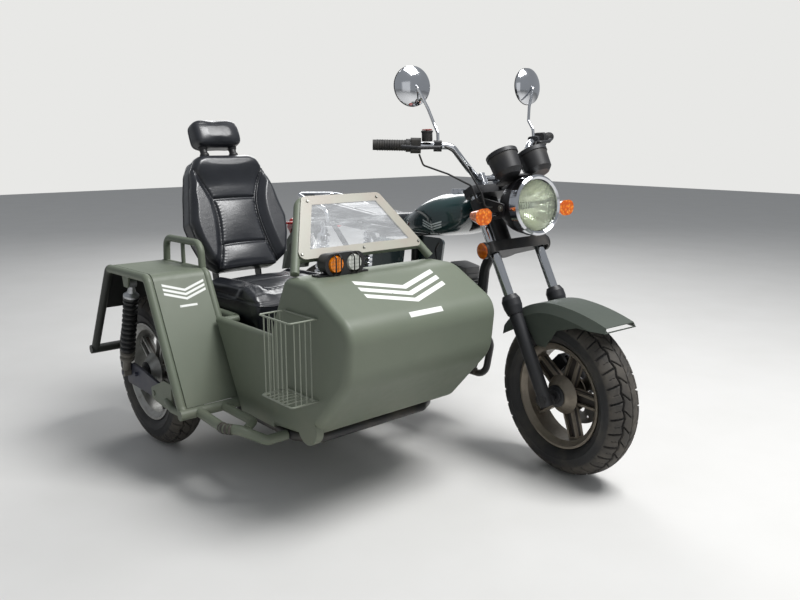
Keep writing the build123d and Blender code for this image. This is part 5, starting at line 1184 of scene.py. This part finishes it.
# %% [markdown]
# Some CAD pieces carry two finishes, parted by a sum over position: the lamp pair has an amber and
# a clear lens, the strut a bright cap, a black boot and a grey foot, the signals black stalks.

# %% Two-tone finishes


def two_tone(name, place, origin, direction, at, below, above, rough=0.3, metallic=0.0, coat=0.0):
    """One finish for the part below a distance along a direction, another above it."""
    f = Finish(name, Coat_Weight=coat, Coat_Roughness=0.05)
    share = f.along(place(origin), way(place, direction)).ramp(at - 0.0006, at + 0.0006)
    cloud = f.noise(26.0, 5.0).ramp(0.3, 0.75) * 0.6
    low, high = (f.mix(cloud, tone, toned(tone, 0.6)) for tone in (below, above))
    f.set(Base_Color=f.mix(share, low, high), Roughness=cloud * 0.2 + rough, Metallic=share * metallic)
    return f.grain(240.0, 3.0, 0.0004, 0.4)


# Where each finish changes, in metres along its own direction.
LENSES_PART_Y, BOOT_TOP, BOOT_FOOT, STALK_END = -0.657, 0.300, (0.086, 0.084), (0.1500, 0.1490)
pair = two_tone("lamp_pair_lens", on_side, (0, LENSES_PART_Y, 0), (0, 1, 0), 0.0, linear(246, 138, 20),
                linear(214, 216, 208), 0.14, coat=0.8)
pair.set(Normal=pair.bump(pair.ribs(620.0), 0.0016, 0.7))
dress("lamp_pair_lenses", pair)

STRUT_FOOT, STRUT_TOP = np.array((-1.168, -0.970, 0.262)), np.array((-1.060, -0.970, 0.596))
strut_way = (STRUT_TOP - STRUT_FOOT) / np.linalg.norm(STRUT_TOP - STRUT_FOOT)
strut = two_tone("strut_boot", on_side, STRUT_FOOT, strut_way, BOOT_TOP, linear(26, 26, 27),
                 linear(196, 198, 200), 0.34, 0.9)
strut.over(strut.along(on_side(STRUT_FOOT), strut_way).ramp(*BOOT_FOOT), linear(104, 100, 92))
dress("side_strut", strut)

signal = Finish("signal_amber", Roughness=0.14, Coat_Weight=0.8, Coat_Roughness=0.04)
reach = abs(signal.along(on_fork((0, 0, 0)), way(on_fork, (0, 1, 0))))
facets = signal.cells(95.0).ramp(0.0, 0.7)
amber = signal.mix(facets, linear(250, 150, 40), linear(206, 88, 12))
signal.set(Base_Color=signal.mix(reach.ramp(*STALK_END), amber, linear(26, 26, 28)),
           Normal=signal.bump(facets, 0.002, 0.6))
dress("front_signals", signal)

rail = painted("rail_paint")
# Painted shade: the rails' rear loop, behind x = -1.185, is darkened toward a shaded olive.
rail.over(rail.along(on_side((-1.185, 0, 0)), (1, 0, 0)).ramp(0.010, -0.020), linear(40, 43, 38))
dress("mudguard_rails", rail)
# Painted shade: the inner face of the sidecar mudguard's rear slope, which lies in shadow, is coloured near
# black.
inner_shade = guard_paint.along(on_side((-1.2056, 0, 0.6399)), (-0.849, 0, 0.528)).ramp(-0.0008, -0.0012)
behind = guard_paint.along(on_side((-1.222, 0, 0)), (-1, 0, 0)).ramp(0.0, 0.002)
guard_paint.over(inner_shade * behind, linear(30, 32, 30))
print("two-tone finishes ready")

# %% [markdown]
# The tank is carried along its length as a rounded section that grows and shrinks with the CAD
# solid's own widths and heights. The knee recess is an arch pressed 7.5 mm in, and a folded seam
# runs round the foot.

# %% Tank
# Each section of the tank: how far back, how wide, its foot's height and its crest's.
TANK = [(-0.4235, 0.110, 0.801, 0.857), (-0.436, 0.172, 0.772, 0.869), (-0.470, 0.216, 0.743, 0.8775),
        (-0.515, 0.250, 0.727, 0.8765), (-0.560, 0.2665, 0.7225, 0.8715), (-0.612, 0.266, 0.7225, 0.852),
        (-0.660, 0.2490, 0.7225, 0.8195), (-0.712, 0.208, 0.7245, 0.793), (-0.748, 0.166, 0.728, 0.772),
        (-0.7615, 0.128, 0.731, 0.762)]
LENGTHS, ROUND, PRESS, SEAM_OUT = 150, 120, 0.0075, 0.0012
KNEE_X, KNEE_Z, KNEE_LONG, KNEE_TALL = -0.625, 0.755, 0.088, 0.052
x, wide, foot, crest = smooth_path(TANK, LENGTHS).T[..., None]
t = np.arange(ROUND) / ROUND * 2 * math.pi
c, s = np.cos(t)[None], np.sin(t)[None]
power = np.where(s > 0, 0.80, 0.42)
half_w, mid = wide / 2, foot * 0.58 + crest * 0.42
y = half_w * np.sign(c) * np.abs(c) ** power
z = mid + np.where(s > 0, crest - mid, mid - foot) * np.sign(s) * np.abs(s) ** power
x = np.repeat(x, ROUND, 1)
arch = np.sqrt(((x - KNEE_X) / KNEE_LONG) ** 2 + (np.maximum(z - KNEE_Z, 0) / KNEE_TALL) ** 2)
knee = (1 - soft_step(arch, 1.0, 0.16)) * soft_step(np.abs(y) / half_w, 0.80, 0.25)
knee = knee * soft_step(z, 0.728, 0.012)
y = y - np.sign(y) * PRESS * knee
fold = groove(z - (foot + 0.004), 0.0016) * soft_step(np.abs(y) / half_w, 0.8, 0.1)
y = y + np.sign(y) * SEAM_OUT * fold
ends = [np.broadcast_to(end, (1, ROUND, 3)) for end in ((-0.4235, 0, 0.829), (-0.7615, 0, 0.7465))]
shell = np.concatenate([ends[0], np.stack([x, y, z], -1), ends[1]])
piece("tank_shell", on_bike(shell), grid_faces(LENGTHS + 2, ROUND, wrap_columns=True), "chassis", teal,
      merge=1e-7, replaces=("fuel_tank",), slot="dark_teal", sharp=60)
print("tank ready")

# %% [markdown]
# Small fittings, each a turned or bent shape: the reflector at the band's end, the brake reservoir,
# rings on the grips, tape round the step tube, cover bolts on the engine, the plug and its lead.

# %% Small fittings
UP, RESERVOIR_AT = (0, 0, 1), (-0.404, -0.246, 1.078)
REFLECTOR = [(0, 0.0), (0.0255, 0.0), (0.0270, 0.0012), (0.0255, 0.0030), (0.0215, 0.0042), (0, 0.0048)]
RESERVOIR = [(0, -0.012), (0.016, -0.012), (0.0175, -0.009), (0.0175, 0.016), (0.0195, 0.017),
             (0.0195, 0.022), (0, 0.023)]
RED_CAP = [(0, 0.0231), (0.0165, 0.0231), (0.0165, 0.0262), (0.014, 0.0275), (0, 0.0275)]
band_end = leg(0.514, -0.1395, -0.006)
on_fork_lathe("band_reflector_right", amber_lens, REFLECTOR, band_end, (0, -1, 0), 40, sharp=40)
on_fork_lathe("brake_reservoir", black_plastic, RESERVOIR, RESERVOIR_AT, UP, 28, sharp=35)
cap_red = plastic("reservoir_cap", linear(120, 38, 30), 0.4)
on_fork_lathe("reservoir_cap", cap_red, RED_CAP, RESERVOIR_AT, UP, 28, sharp=35)

tape = plastic("black_tape", linear(34, 34, 35), 0.38, dust=0.3)
WRAP = [(0.0150, -0.0046), (0.0160, -0.0044), (0.0162, 0.0), (0.0160, 0.0044), (0.0150, 0.0046)]
bend = smooth_path([(-0.512, -0.9528, 0.245), (-0.500, -0.9538, 0.245), (-0.484, -0.9470, 0.245),
                    (-0.470, -0.9375, 0.245)], 60)
spots = [int(share * 59) for share in (0.12, 0.36, 0.60, 0.84)]
bands = [lathe(WRAP, bend[k], bend[k + 1] - bend[k - 1], 28, on_side, True) for k in spots]
piece("step_tape", *joined(bands), "chassis", tape)

# Each ring of cover bolts: its side, its middle, its radius and how far out its cover lies.
COVERS = ((1, -0.530, 0.316, 0.070, 0.0905), (1, -0.652, 0.322, 0.047, 0.0905),
          (-1, -0.560, 0.318, 0.078, 0.1045), (-1, -0.664, 0.330, 0.039, 0.0845))
turns = np.arange(6) / 6 * 2 * math.pi + 0.4
cover_bolts = [bolts([(x + ring * math.cos(turn), side * (face - 0.0008), z + ring * math.sin(turn))],
                     (0, side, 0), 0.0038, 0.0032, 1.4, place=on_bike)
               for side, x, z, ring, face in COVERS for turn in turns]
piece("engine_cover_bolts", *joined(cover_bolts), "chassis", zinc, sharp=30)

PLUG = [(0, 0), (0.008, 0), (0.0095, 0.006), (0.0095, 0.026), (0.006, 0.032), (0, 0.032)]
plug_lead = smooth_path([(-0.500, -0.062, 0.560), (-0.498, -0.096, 0.575), (-0.520, -0.104, 0.625),
                         (-0.560, -0.080, 0.668), (-0.585, -0.040, 0.690)], 40)
plug = lathe(PLUG, (-0.500, -0.058, 0.560), (0, -1, 0.3), 20, on_bike)
piece("plug_and_lead", *joined([plug, pipe(plug_lead, 0.0035, 8, on_bike)]), "chassis", grip_rubber)

RIB = [(0.0168, -0.0022), (0.0182, -0.0014), (0.0182, 0.0014), (0.0168, 0.0022)]
GRIP = np.array([(-0.498, 0.387, 1.060), (-0.370, 0.172, 1.048)])
grip_rings = []
for side in (-1, 1):
    end, start = GRIP * (1, side, 1)
    bar_way = (end - start) / np.linalg.norm(end - start)
    grip_rings += [lathe(RIB, end - bar_way * run, bar_way, 24, on_fork, True)
                   for run in np.linspace(0.008, 0.104, 13)]
piece("grip_ribs", *joined(grip_rings), "fork", grip_rubber)
print("small fittings ready")
